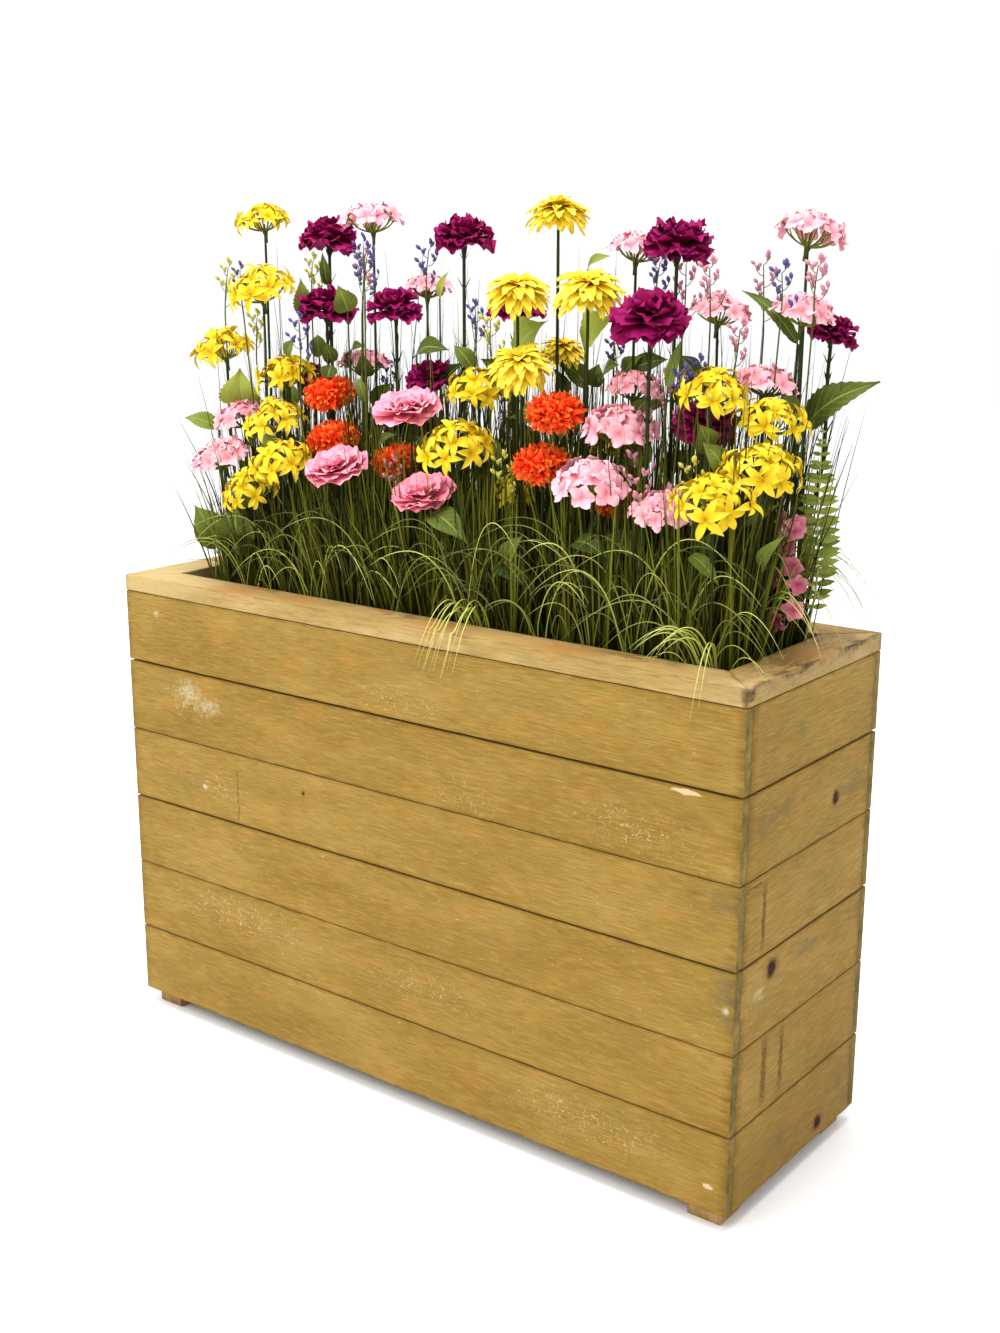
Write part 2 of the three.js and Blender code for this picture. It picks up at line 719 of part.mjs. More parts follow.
function grassRow(name, rowY, blades, seed) {
  const draw = drawFrom(seed);
  const turf = new THREE.BoxGeometry(grassRowLength, grassRowWidth, crownDepth);
  turf.translate(0, rowY, soilTop + 1 - crownDepth / 2);
  const pieces = [turf];
  for (let i = 0; i < blades; i += 1) {
    const drawLine = () => uprightLine(draw, rowY, (i + 0.5) / blades);
    pieces.push(...grassBlade(drawLine, uprightSection, new THREE.Vector3(0.3, -0.95, 0)));
  }
  for (let i = 0; i < weepingEachRow; i += 1) {
    const toEnds = rowY === 0;
    const drawLine = () => (toEnds ? weepOverEnd(draw, i % 2 ? 1 : -1) : weepOverSide(draw, rowY));
    const facing = toEnds ? new THREE.Vector3(0, 1, 0.2) : new THREE.Vector3(1, 0, 0.2);
    pieces.push(...grassBlade(drawLine, weepingSection, facing));
  }
  addMesh(name, toGeometry(fuse(pieces)), colours.grass);
}

// Box
function plank(length) {
  const [halfT, halfH, c] = [boardThickness / 2, boardHeight / 2, boardArris];
  const section = new THREE.Shape([
    new THREE.Vector2(-halfT, -halfH + c), new THREE.Vector2(-halfT + c, -halfH),
    new THREE.Vector2(halfT - c, -halfH), new THREE.Vector2(halfT, -halfH + c),
    new THREE.Vector2(halfT, halfH - c), new THREE.Vector2(halfT - c, halfH),
    new THREE.Vector2(-halfT + c, halfH), new THREE.Vector2(-halfT, halfH - c),
  ]);
  const geometry = new THREE.ExtrudeGeometry(section, { depth: length, bevelEnabled: false });
  geometry.translate(0, 0, -length / 2);
  // The section's own width turns to Y, its height to Z and its length to X
  const turn = new THREE.Matrix4().makeBasis(
    new THREE.Vector3(0, 1, 0),
    new THREE.Vector3(0, 0, 1),
    new THREE.Vector3(1, 0, 0),
  );
  return geometry.applyMatrix4(turn);
}

function makeBoards() {
  const sideY = boxWidth / 2 - boardThickness / 2;
  const endX = boxLength / 2 - boardThickness / 2;
  for (let course = 0; course < courses; course += 1) {
    const z = footHeight + boardHeight / 2 + course * coursePitch;
    for (const [side, y] of [['front', -sideY], ['back', sideY]]) {
      addMesh(`${side}_board_${course + 1}`, plank(boxLength), colours.board).position.set(0, y, z);
    }
    for (const [side, x] of [['left', -endX], ['right', endX]]) {
      const mesh = addMesh(`${side}_board_${course + 1}`, plank(innerWidth), colours.board);
      mesh.position.set(x, 0, z);
      mesh.rotation.z = Math.PI / 2;
    }
  }
}

function makePosts() {
  const x = innerLength / 2 - postSide / 2;
  const y = innerWidth / 2 - postSide / 2;
  for (const [nameY, signY] of [['front', -1], ['back', 1]]) {
    for (const [nameX, signX] of [['left', -1], ['right', 1]]) {
      const post = new THREE.BoxGeometry(postSide, postSide, capUnderside);
      const mesh = addMesh(`post_${nameY}_${nameX}`, post, colours.post);
      mesh.position.set(signX * x, signY * y, capUnderside / 2);
    }
  }
}

// Four rails with mitred ends lie on the boards and posts, flush with the outer faces
function makeCap() {
  for (const [name, length, y, turn] of [
    ['cap_front', boxLength, boxWidth / 2, 0],
    ['cap_right', boxWidth, boxLength / 2, 1],
    ['cap_back', boxLength, boxWidth / 2, 2],
    ['cap_left', boxWidth, boxLength / 2, 3],
  ]) {
    const half = length / 2 - mitreGap;
    const rail = new THREE.Shape([
      new THREE.Vector2(-half, -y),
      new THREE.Vector2(half, -y),
      new THREE.Vector2(half - capWidth, -y + capWidth),
      new THREE.Vector2(-half + capWidth, -y + capWidth),
    ]);
    const geometry = new THREE.ExtrudeGeometry(rail, { depth: capThickness, bevelEnabled: false });
    const mesh = addMesh(name, geometry, colours.cap);
    mesh.position.z = capUnderside;
    mesh.rotation.z = (turn * Math.PI) / 2;
  }
}

// The inside of the box seen from above, less its four posts
function insideOutline(clearance) {
  const [x, y] = [innerLength / 2 - clearance, innerWidth / 2 - clearance];
  const [u, v] = [x - postSide, y - postSide];
  return new THREE.Shape([
    new THREE.Vector2(-u, -y), new THREE.Vector2(u, -y), new THREE.Vector2(u, -v),
    new THREE.Vector2(x, -v), new THREE.Vector2(x, v), new THREE.Vector2(u, v),
    new THREE.Vector2(u, y), new THREE.Vector2(-u, y), new THREE.Vector2(-u, v),
    new THREE.Vector2(-x, v), new THREE.Vector2(-x, -v), new THREE.Vector2(-u, -v),
  ]);
}

function makeFloor() {
  const bearerX = innerLength / 2 - postSide - bearerWidth / 2;
  [-bearerX, bearerX].forEach((x, i) => {
    const bearer = new THREE.BoxGeometry(bearerWidth, innerWidth, bearerHeight);
    const mesh = addMesh(`floor_bearer_${i + 1}`, bearer, colours.post);
    mesh.position.set(x, 0, footHeight + bearerHeight / 2);
  });
  const sheet = insideOutline(soilClearance);
  for (const x of [-drainPitch, 0, drainPitch]) {
    const drain = new THREE.Path();
    for (let i = 0; i < drainSides; i += 1) {
      const angle = (fullTurn * i) / drainSides;
      const [px, py] = [x + drainRadius * Math.cos(angle), drainRadius * Math.sin(angle)];
      if (i === 0) drain.moveTo(px, py);
      else drain.lineTo(px, py);
    }
    drain.closePath();
    sheet.holes.push(drain);
  }
  const geometry = new THREE.ExtrudeGeometry(sheet, { depth: floorThickness, bevelEnabled: false });
  addMesh('floor_panel', geometry, colours.floor).position.z = footHeight + bearerHeight;
}

// Soil fills the box from its floor, with a plain hole for every crown and row of turf
function makeSoil() {
  const depth = soilTop - floorTop;
  const fill = new THREE.ExtrudeGeometry(insideOutline(soilClearance), { depth, bevelEnabled: false });
  fill.translate(0, 0, floorTop);
  const holes = [];
  const addHole = (x, y, length, width) => {
    const depthBelow = crownDepth - 1 + holeClearance;
    const spare = 10;
    const hole = new THREE.BoxGeometry(
      length + 2 * holeClearance,
      width + 2 * holeClearance,
      depthBelow + spare,
    );
    holes.push(hole.translate(x, y, soilTop + (spare - depthBelow) / 2));
  };
  for (const name of [...frontRow, ...backRow]) {
    const place = crownPlace(name);
    addHole(place.x, place.y, crownSide, crownSide);
  }
  addHole(fernCrown.x, fernCrown.y, fernCrownSide, fernCrownSide);
  for (const y of [-grassRowY, 0, grassRowY]) addHole(0, y, grassRowLength, grassRowWidth);
  const soil = holes.reduce((rest, hole) => rest.subtract(toSolid(hole)), toSolid(fill));
  addMesh('soil', toGeometry(soil), colours.soil, 1);
}

function makePlants() {
  for (const name of [...frontRow, ...backRow]) {
    const kind = name.split('_')[0];
    const pieces = kind === 'leaves' ? leafPlant(name) : flowerPlant(name);
    if (name === 'florets_right') pieces.push(...trailingFlorets());
    addMesh(name, toGeometry(fuse(pieces)), headColours[kind]);
  }
  addMesh('fern_frond', toGeometry(fuse(fernPlant())), colours.fern);
  grassRow('grass_front', -grassRowY, 40, 11);
  grassRow('grass_middle', 0, 24, 22);
  grassRow('grass_back', grassRowY, 34, 33);
}

makeBoards();
makePosts();
makeCap();
makeFloor();
makeSoil();
makePlants();

export default group;
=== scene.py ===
import math

import bpy
import numpy as np
from mathutils import Matrix, Vector


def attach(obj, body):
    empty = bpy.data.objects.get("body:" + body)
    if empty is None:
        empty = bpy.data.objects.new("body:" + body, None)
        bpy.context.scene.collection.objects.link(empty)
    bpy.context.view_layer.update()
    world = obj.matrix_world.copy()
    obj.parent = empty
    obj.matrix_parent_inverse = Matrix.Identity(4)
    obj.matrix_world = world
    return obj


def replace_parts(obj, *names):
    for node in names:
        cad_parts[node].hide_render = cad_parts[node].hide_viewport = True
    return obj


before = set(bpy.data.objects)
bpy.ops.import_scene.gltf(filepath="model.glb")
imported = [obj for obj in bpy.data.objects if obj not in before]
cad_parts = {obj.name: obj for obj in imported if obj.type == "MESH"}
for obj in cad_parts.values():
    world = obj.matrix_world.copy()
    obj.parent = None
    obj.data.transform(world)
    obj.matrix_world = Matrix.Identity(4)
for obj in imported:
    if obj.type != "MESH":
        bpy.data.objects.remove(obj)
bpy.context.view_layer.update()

# A long timber window box, planted with grasses and summer flowers.
# Lengths are millimetres in the frame of the solids, until a mesh or a lamp is made, and metres then.
MM = 0.001
FULL_TURN = 2 * math.pi

# Box
BOX_LENGTH = 1000
BOX_WIDTH = 332
BOARD_THICKNESS = 14
BOARD_HEIGHT = 101
BOARD_SEAM = 1.4
COURSES = 6
FOOT_HEIGHT = 23
POST_SIDE = 45
CAP_WIDTH = 55
CAP_THICKNESS = 22
COURSE_PITCH = BOARD_HEIGHT + BOARD_SEAM
CAP_UNDERSIDE = FOOT_HEIGHT + COURSES * COURSE_PITCH - BOARD_SEAM
RIM_HEIGHT = CAP_UNDERSIDE + CAP_THICKNESS
INNER_LENGTH = BOX_LENGTH - 2 * BOARD_THICKNESS
INNER_WIDTH = BOX_WIDTH - 2 * BOARD_THICKNESS
BEARER_HEIGHT = 22
FLOOR_THICKNESS = 18

# Planting. Heights of plants count from the top of the soil, and stems start a little below it.
SOIL_BELOW_RIM = 72
SOIL_TOP = RIM_HEIGHT - SOIL_BELOW_RIM
SOIL_BOTTOM = FOOT_HEIGHT + BEARER_HEIGHT + FLOOR_THICKNESS
SOIL_CLEARANCE = 0.5
ROOT_LEVEL = SOIL_TOP - 4
CROWN_SIDE = 52
CROWN_PITCH = 88
CROWN_ROW_Y = 48
STEM_KNEE = 130
MOUTH_X = BOX_LENGTH / 2 - CAP_WIDTH
MOUTH_Y = BOX_WIDTH / 2 - CAP_WIDTH

# How wide the seams between the courses look, from the bottom one up, and the line under the cap
SEAM_WIDTHS = [1.8, 1.2, 2.8, 1.2, 3.0]
CAP_LINE = 1.0


# Meshes

# Directions to turn rings and heads by. No stem runs along the first, and no head looks along the second.
BESIDE_STEMS = [0.31, -0.95, 0.04]
BESIDE_HEADS = [0.02, 1.0, 0.03]


class Pile:
    """Many small pieces gathered for one mesh. Each vertex has a place on its own piece: how far
    along it, how far across it from -1 to 1, and a tone that is drawn for the piece."""

    def __init__(self):
        self.points, self.faces, self.places = [], [], []
        self.count = 0

    def add(self, points, faces, along, across, tone):
        """Adds a grid of points. A part of the place that is the same for all, a row or a column is
        given once."""
        place = np.stack(np.broadcast_arrays(along, across, tone, points[..., 0])[:3], -1)
        self.points.append(points.reshape(-1, 3))
        self.faces.append(np.asarray(faces) + self.count)
        self.places.append(place.reshape(-1, 3))
        self.count += points.size // 3

    def build(self, name, material, slot):
        points = np.concatenate(self.points) * MM
        vectors = {"place": np.concatenate(self.places)}
        return make_piece(name, points, np.concatenate(self.faces), vectors, material)


def make_piece(name, points, faces, vectors, material):
    """One smooth mesh of quads in metres, with its vector attributes, riding on the box."""
    mesh = bpy.data.meshes.new(name)
    mesh.vertices.add(len(points))
    mesh.vertices.foreach_set("co", points.astype(np.float32).ravel())
    mesh.loops.add(faces.size)
    mesh.loops.foreach_set("vertex_index", faces.astype(np.int32).ravel())
    mesh.polygons.add(len(faces))
    mesh.polygons.foreach_set("loop_start", np.arange(0, faces.size, 4, dtype=np.int32))
    mesh.polygons.foreach_set("use_smooth", np.full(len(faces), True))
    for attribute_name, values in vectors.items():
        attribute = mesh.attributes.new(attribute_name, "FLOAT_VECTOR", "POINT")
        attribute.data.foreach_set("vector", values.astype(np.float32).ravel())
    mesh.update(calc_edges=True)
    mesh.validate()
    mesh.materials.append(material)
    piece = bpy.data.objects.new(name, mesh)
    bpy.context.scene.collection.objects.link(piece)
    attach(piece, "root")
    return piece


def grid_faces(rows, columns, closed=False):
    """Quads between the points of a grid, whose rows close on themselves where it is a tube."""
    row = np.arange(rows - 1)[:, None] * columns
    column = np.arange(columns if closed else columns - 1)[None, :]
    after = (column + 1) % columns
    corners = [row + column, row + after, row + columns + after, row + columns + column]
    return np.stack(corners, -1).reshape(-1, 4)


def repeated(faces, copies, points_each):
    """The faces of one piece again for each of its copies."""
    return (faces[None] + (np.arange(copies) * points_each)[:, None, None]).reshape(-1, 4)


def about_z(angles):
    """A turn about Z for each angle."""
    c, s = np.cos(angles), np.sin(angles)
    zero, one = np.zeros_like(c), np.ones_like(c)
    return np.stack([c, -s, zero, s, c, zero, zero, zero, one], -1).reshape(-1, 3, 3)


def unit(vectors):
    vectors = np.asarray(vectors, float)
    return vectors / np.linalg.norm(vectors, axis=-1, keepdims=True)


def looking(directions):
    """A turn for each direction that brings +Z to it."""
    z = unit(directions).reshape(-1, 3)
    x = unit(np.cross(np.broadcast_to(BESIDE_HEADS, z.shape), z))
    y = np.cross(z, x)
    return np.stack([x, y, z], -1)


def wander(stations, spacing, draw):
    """A smooth drawn wave from -1 to 1 along the stations, with a new value at every spacing."""
    knots = int(np.ptp(stations) / spacing) + 4
    values = draw.uniform(-1, 1, knots)
    spot = (stations - stations.min()) / spacing
    low = spot.astype(int)
    share = spot - low
    share = share * share * (3 - 2 * share)
    return values[low] * (1 - share) + values[low + 1] * share


def smooth_line(points, count):
    """A Catmull-Rom curve through the points, at evenly spaced parameters."""
    points = np.asarray(points, float)
    ends = np.vstack([2 * points[0] - points[1], points, 2 * points[-1] - points[-2]])
    spot = np.linspace(0, len(points) - 1, count)
    i = np.minimum(spot.astype(int), len(points) - 2)
    t = (spot - i)[:, None]
    a, b, c, d = ends[i], ends[i + 1], ends[i + 2], ends[i + 3]
    return 0.5 * (2 * b + (c - a) * t + (2 * a - 5 * b + 4 * c - d) * t ** 2
                  + (3 * b - a - 3 * c + d) * t ** 3)


def tube(pile, line, radii, sides=6, tone=0.0, along=(0.0, 1.0)):
    """A round stem along a line, as thick as the radii say."""
    line = np.asarray(line, float)
    radii = np.broadcast_to(radii, len(line))
    ahead = unit(np.gradient(line, axis=0))
    side = unit(np.cross(ahead, BESIDE_STEMS))
    out = np.cross(side, ahead)
    angle = FULL_TURN * np.arange(sides)[:, None] / sides
    ring = np.cos(angle) * side[:, None] + np.sin(angle) * out[:, None]
    share = np.linspace(*along, len(line))[:, None]
    faces = grid_faces(len(line), sides, closed=True)
    pile.add(line[:, None] + ring * radii[:, None, None], faces, share, 0, tone)


# Petals

def pointed_outline(t):
    return 0.3 * (1 - t) + np.sin(np.pi * t ** 0.85) * 0.9 + 0.02


def strap_outline(t):
    return np.clip(0.35 + 1.5 * t, 0, 1) * (1 - 0.45 * t ** 5)


def paddle_outline(t):
    return 0.16 + 0.84 * np.sin(0.72 * np.pi * t ** 0.9)


def petals(pile, turns, roots, length, width, start, bend, outline, cup=0.0, ruffle=0.0, waves=3.0, phase=0.0,
           rounding=0.0, teeth=0.0, tooth_count=7, tone=0.0, rows=6, columns=5):
    """Petals as curved grids. Each leaves its root along its turn's Y, with its face up its turn's Z. It
    starts at an angle above the Y axis and bends as it goes. Any size may differ from petal to petal."""
    count = len(turns)
    t = np.linspace(0, 1, rows)[:, None]
    s = np.linspace(-1, 1, columns)
    length, width, start, bend, cup, ruffle, waves, phase, rounding, teeth, tone = [
        np.broadcast_to(np.asarray(size, float), count)[:, None, None]
        for size in (length, width, start, bend, cup, ruffle, waves, phase, rounding, teeth, tone)]
    bend = bend + 1e-4
    saw = np.abs((s + 1) * tooth_count / 2 % 1 - 0.5) * 2
    reach = t * (1 - rounding * s ** 2 * t - teeth * saw * t ** 3)
    angle = start + bend * reach
    half = 0.5 * width * outline(t)
    swing = np.sin(waves * np.pi * s + phase) + 0.5 * np.sin(2.7 * waves * np.pi * s + 2.3 * phase)
    lift = cup * half * s ** 2 + ruffle * t ** 2 * swing
    x = half * s
    y = length * (np.sin(angle) - np.sin(start)) / bend - lift * np.sin(angle)
    z = length * (np.cos(start) - np.cos(angle)) / bend + lift * np.cos(angle)
    local = np.stack(np.broadcast_arrays(x, y, z), -1).reshape(count, -1, 3)
    points = np.einsum("pij,pkj->pki", turns, local) + np.broadcast_to(roots, (count, 3))[:, None]
    faces = repeated(grid_faces(rows, columns), count, rows * columns)
    pile.add(points.reshape(count, rows, columns, 3), faces, t, s, tone)


def ring_of_petals(pile, at, turn, count, draw, height=0.0, offset=0.0, unrest=1.0, **shape):
    """One round of petals about a head's axis, each a little different from the next."""
    angles = FULL_TURN * (np.arange(count) + unrest * draw.uniform(-0.16, 0.16, count)) / count + offset
    shape["length"] = shape["length"] * (1 + unrest * draw.uniform(-0.08, 0.08, count))
    shape["start"] = shape["start"] + unrest * draw.uniform(-0.12, 0.12, count)
    shape["bend"] = shape["bend"] + unrest * draw.uniform(-0.15, 0.15, count)
    shape["phase"] = draw.uniform(0, FULL_TURN, count)
    shape.setdefault("tone", draw.uniform(0, 1, count))
    petals(pile, turn @ about_z(angles), at + turn @ [0, 0, height], **shape)


def calyx(greens, at, turn, length, radius):
    """The green cup under a head, which swells from the stem."""
    heights = np.array([-1.0, -0.8, -0.35, 0.0, 0.25])
    line = at + np.outer(heights * length, [0, 0, 1.0]) @ turn.T
    tube(greens, line, np.array([0.45, 0.6, 0.9, 1.0, 0.5]) * radius, sides=8, tone=0.25, along=(0.7, 0.9))


# Heads. Each stands on the top of its stem and is turned to look along its own axis.

def carnation_head(blooms, greens, at, turn, width, draw):
    """Rounds of wide waved petals with toothed edges, from drooping ones to upright ones."""
    radius = width / 2
    calyx(greens, at + turn @ [0, 0, 0.08 * width], turn, 0.22 * width, 0.055 * width)
    rounds = [(7, 1.0, 0.06, -0.6), (7, 0.98, 0.42, -0.75), (6, 0.94, 0.74, -0.85), (6, 0.86, 1.02, -0.8),
              (5, 0.74, 1.3, -0.55)]
    for layer, (count, share, start, bend) in enumerate(rounds):
        ring_of_petals(
            blooms, at, turn, count, draw, height=(0.1 + 0.012 * layer) * width, offset=0.7 * layer,
            unrest=1.4, length=radius * share, width=radius * (1.24 - 0.08 * layer), start=start, bend=bend,
            outline=paddle_outline, cup=0.12, ruffle=0.1 * radius, waves=draw.uniform(1.2, 2.2, count),
            rounding=0.24, teeth=0.07, tooth_count=9, rows=8, columns=17)


def rose_head(blooms, greens, at, turn, width, draw):
    """Broad petals with softly waved edges about a tighter middle."""
    radius = width / 2
    calyx(greens, at + turn @ [0, 0, 0.13 * width], turn, 0.2 * width, 0.05 * width)
    rounds = [(6, 1.0, 0.12, -0.12), (6, 0.96, 0.42, -0.25), (6, 0.8, 0.8, -0.5),
              (5, 0.62, 1.12, -0.7), (4, 0.44, 1.38, -0.5)]
    for layer, (count, share, start, bend) in enumerate(rounds):
        ring_of_petals(
            blooms, at, turn, count, draw, height=0.15 * width, offset=0.5 * layer, length=radius * share,
            width=radius * (1.3 - 0.12 * layer), start=start, bend=bend, outline=paddle_outline, cup=0.22,
            ruffle=0.07 * radius, waves=1.3, rounding=0.2, rows=8, columns=15)


def dahlia_head(blooms, greens, at, turn, width, draw):
    """Rounds of strap petals, the outer ones drooping, with short orange ones in the middle."""
    radius = width / 2
    calyx(greens, at, turn, 0.07 * width, 0.06 * width)
    rounds = [(18, 1.0, -0.05, -0.9), (18, 1.0, 0.16, -1.0), (17, 0.96, 0.38, -1.1), (15, 0.86, 0.58, -1.15),
              (12, 0.7, 0.76, -1.15), (9, 0.46, 0.9, -0.9)]
    for layer, (count, share, start, bend) in enumerate(rounds):
        ring_of_petals(
            blooms, at, turn, count, draw, height=(0.04 + 0.016 * layer) * width, offset=0.24 * layer,
            unrest=1.8, length=radius * share, width=0.32 * radius * share ** 0.5, start=start, bend=bend,
            outline=strap_outline, cup=0.25, ruffle=0.02 * radius, rounding=0.12, teeth=0.05, tooth_count=3,
            rows=7, columns=7, tone=draw.uniform(0, 0.6, count))
    ring_of_petals(
        blooms, at, turn, 9, draw, height=0.13 * width, length=0.24 * radius, width=0.13 * radius, start=0.8,
        bend=-0.6, outline=pointed_outline, cup=0.3, rows=4, columns=3, tone=1.0)


POMPON_FLORETS = 120
POMPON_PETALS = 3
POMPON_MIDDLE = 0.5
POMPON_FLATTENING = 0.5
POMPON_CORE = 0.64
GOLDEN_ANGLE = math.pi * (3 - math.sqrt(5))


def pompon_head(blooms, greens, at, turn, width, draw):
    """A ball that is covered all over with short pointed florets."""
    radius = width / 2
    calyx(greens, at, turn, 0.06 * width, 0.05 * width)
    middle = np.array([0, 0, POMPON_MIDDLE * radius])
    flat = np.array([1, 1, POMPON_FLATTENING])
    count, each = POMPON_FLORETS, POMPON_PETALS
    height = 1 - 2 * (np.arange(count) + 0.5) / count
    angle = GOLDEN_ANGLE * np.arange(count)
    ring = np.sqrt(1 - height ** 2)
    directions = np.stack([np.cos(angle) * ring, np.sin(angle) * ring, height], -1)
    directions = unit(directions + draw.uniform(-0.08, 0.08, directions.shape))
    turns = np.repeat(turn @ looking(directions), each, axis=0)
    spins = draw.uniform(0, FULL_TURN, count)[:, None] + np.arange(each) * FULL_TURN / each
    roots = at + (middle + directions * flat * radius * 0.6) @ turn.T
    total = each * count
    longer = 0.62 + 0.38 * np.repeat(ring, each)
    petals(
        blooms, turns @ about_z(np.ravel(spins)), np.repeat(roots, each, axis=0),
        length=radius * draw.uniform(0.44, 0.6, total) * longer, width=0.24 * radius,
        start=draw.uniform(0.95, 1.35, total), bend=-0.5, outline=pointed_outline, cup=0.3,
        tone=np.repeat(draw.uniform(0, 1, count), each), rows=5, columns=3)
    slope = np.linspace(0.02, math.pi - 0.02, 9)
    core = np.outer(-np.cos(slope), [0, 0, POMPON_FLATTENING]) * radius * POMPON_CORE
    tube(blooms, at + (middle + core) @ turn.T, np.sin(slope) * radius * POMPON_CORE, sides=14, tone=0.9,
         along=(0, 0))


def umbel(greens, at, turn, width, rounds, dome, draw):
    """Curved stalks that leave one hub and end on a dome. Each round is a count, the lean of its ends
    from the axis and how far out they are. Gives the place and the turn of every end."""
    hub = at + np.outer([-16, -8, 0, 3], [0, 0, 1.0]) @ turn.T
    tube(greens, hub, np.array([1.7, 2.4, 4.2, 1.5]), sides=8, tone=0.45, along=(0.7, 0.9))
    ends = []
    up = np.array([0, 0, 1.0])
    for count, tilt, share in rounds:
        for i in range(count):
            angle = FULL_TURN * (i + draw.uniform(-0.25, 0.25)) / count + 2.3 * tilt
            lean = tilt * draw.uniform(0.8, 1.2)
            around = np.array([math.cos(angle), math.sin(angle), 0])
            spread = share * width / 2 * draw.uniform(0.86, 1.06)
            rise = dome * width * math.cos(0.9 * tilt) * draw.uniform(0.9, 1.1)
            end = around * spread + up * rise
            out = around * math.sin(lean) + up * math.cos(lean)
            low = around * spread * 0.75 + up * rise * 0.2
            t = np.linspace(0, 1, 9)[:, None]
            line = 2 * t * (1 - t) * low + t ** 2 * (end - 4 * out)
            tube(greens, at + line @ turn.T, np.linspace(1.2, 0.9, 9), sides=5, tone=1.0, along=(0.8, 1))
            throat = np.array([end - 5 * out, end - 2 * out, end + 0.5 * out])
            tube(greens, at + throat @ turn.T, np.array([0.9, 1.5, 2.1]), sides=6, tone=1.0, along=(0.9, 1))
            ends.append((at + turn @ end, turn @ looking(out)[0]))
    return ends


def lily_head(blooms, greens, at, turn, width, draw):
    """An umbel of flowers with six narrow pointed petals that curl back."""
    rounds = [(1, 0.15, 0.05), (5, 0.7, 0.42), (8, 1.2, 0.84)]
    for place, look in umbel(greens, at, turn, width, rounds, 0.42, draw):
        length = 0.27 * width * draw.uniform(0.86, 1.1)
        ring_of_petals(
            blooms, place, look, 6, draw, length=length, width=0.33 * length, start=0.7, bend=-1.6,
            unrest=2.4, outline=pointed_outline, cup=0.35, rows=7, columns=5, offset=draw.uniform(0, 1),
            tone=draw.uniform(0, 0.8))


def floret_head(blooms, greens, at, turn, width, draw):
    """An umbel of small flowers with five roundish petals."""
    rounds = [(1, 0.15, 0.05), (6, 0.55, 0.42), (9, 1.0, 0.8)]
    for place, look in umbel(greens, at, turn, width, rounds, 0.38, draw):
        small_flower(blooms, place, look, 0.19 * width * draw.uniform(0.85, 1.1), draw)


def small_flower(blooms, place, look, radius, draw):
    """Five roundish petals in one round."""
    ring_of_petals(
        blooms, place, look, 5, draw, length=radius, width=0.86 * radius, start=0.4, bend=-0.5, unrest=1.5,
        outline=paddle_outline, cup=0.1, ruffle=0.12 * radius, waves=1.1, rounding=0.3, rows=7, columns=7,
        offset=draw.uniform(0, 1))


def bud_spray(buds, greens, foot, length, tone, draw):
    """The top of a sprig: short side shoots, each with a few drop-shaped buds."""
    tip = foot + np.array([draw.uniform(-6, 6), draw.uniform(-6, 6), length])
    line = smooth_line([foot, (foot + tip) / 2 + draw.uniform(-2, 2, 3), tip], 7)
    tube(greens, line, np.linspace(1.1, 0.6, 7), sides=5, tone=0.5, along=(0.6, 1))
    shoots = 6
    for i in range(shoots):
        share = 0.18 + 0.82 * i / (shoots - 1)
        root = line[0] + (line[-1] - line[0]) * share
        angle = 2.4 * i + draw.uniform(-0.3, 0.3)
        reach = length * (0.28 - 0.2 * share) + 3
        side = np.array([math.cos(angle), math.sin(angle), 0])
        end = root + side * reach + np.array([0, 0, reach * 1.1])
        low = root + side * reach * 0.6 + np.array([0, 0, 0.3 * reach])
        tube(greens, smooth_line([root, low, end], 4), 0.5, sides=4, tone=0.6, along=(0.8, 1))
        for k in range(3):
            spot = root + (end - root) * (0.5 + 0.25 * k)
            swing = np.array([0.5 * math.sin(2.6 * k), 0.5 * math.cos(1.7 * k), 1.0])
            out = unit(side * math.cos(2.6 * k) + swing)
            size = draw.uniform(0.85, 1.2)
            bud = spot + np.outer([0, 1.6, 4.2, 6.6, 8.2], out) * size
            tube(buds, bud, np.array([0.5, 1.7, 2.4, 1.5, 0.2]) * size, sides=6,
                 tone=tone + draw.uniform(-0.06, 0.06))


LEAF_TEETH = 11
LEAF_ROWS = 23
LEAF_COLUMNS = 9
LEAF_FACING = (0.42, -0.66, 0.62)
LEAF_ARCH = 0.16


def leaf(pile, base, tip, width, tone, draw, teeth=0.0, lobes=0.0):
    """A broad leaf from its base to its tip, folded a little along its rib and arched upwards."""
    t = np.linspace(0, 1, LEAF_ROWS)[:, None]
    s = np.linspace(-1, 1, LEAF_COLUMNS)
    length = np.linalg.norm(tip - base)
    ahead = unit(tip - base)
    side = unit(np.cross(ahead, LEAF_FACING))
    up = np.cross(side, ahead)
    outline = np.sin(np.pi * t ** 0.7) ** (0.55 + 0.7 * t) * (1 + lobes * np.cos(3.1 * np.pi * t + 0.4))
    edge = 1 + teeth * (np.abs(t * LEAF_TEETH % 1 - 0.5) - 0.25) * np.abs(s) ** 4
    half = 0.5 * width * np.clip(outline, 0.03, None) * edge
    wave = 0.04 * width * np.sin(8 * t + 2 * s + draw.uniform(0, FULL_TURN)) * np.abs(s)
    height = LEAF_ARCH * length * np.sin(np.pi * t) + 0.22 * half * np.abs(s) + wave
    points = base + (tip - base) * t[..., None] + side * (half * s)[..., None] + up * height[..., None]
    pile.add(points, grid_faces(LEAF_ROWS, LEAF_COLUMNS), t, s, tone)


# Materials. Their colours are screen colours, in three values from 0 to 255.

# The nodes that reckon with numbers and with vectors
NUMBERS, VECTORS = "ShaderNodeMath", "ShaderNodeVectorMath"


def linear(colour):
    """A screen colour as the linear colour that the shaders take."""
    shares = [value / 255 for value in colour]
    parts = [share / 12.92 if share <= 0.04045 else ((share + 0.055) / 1.055) ** 2.4 for share in shares]
    return (*parts, 1.0)


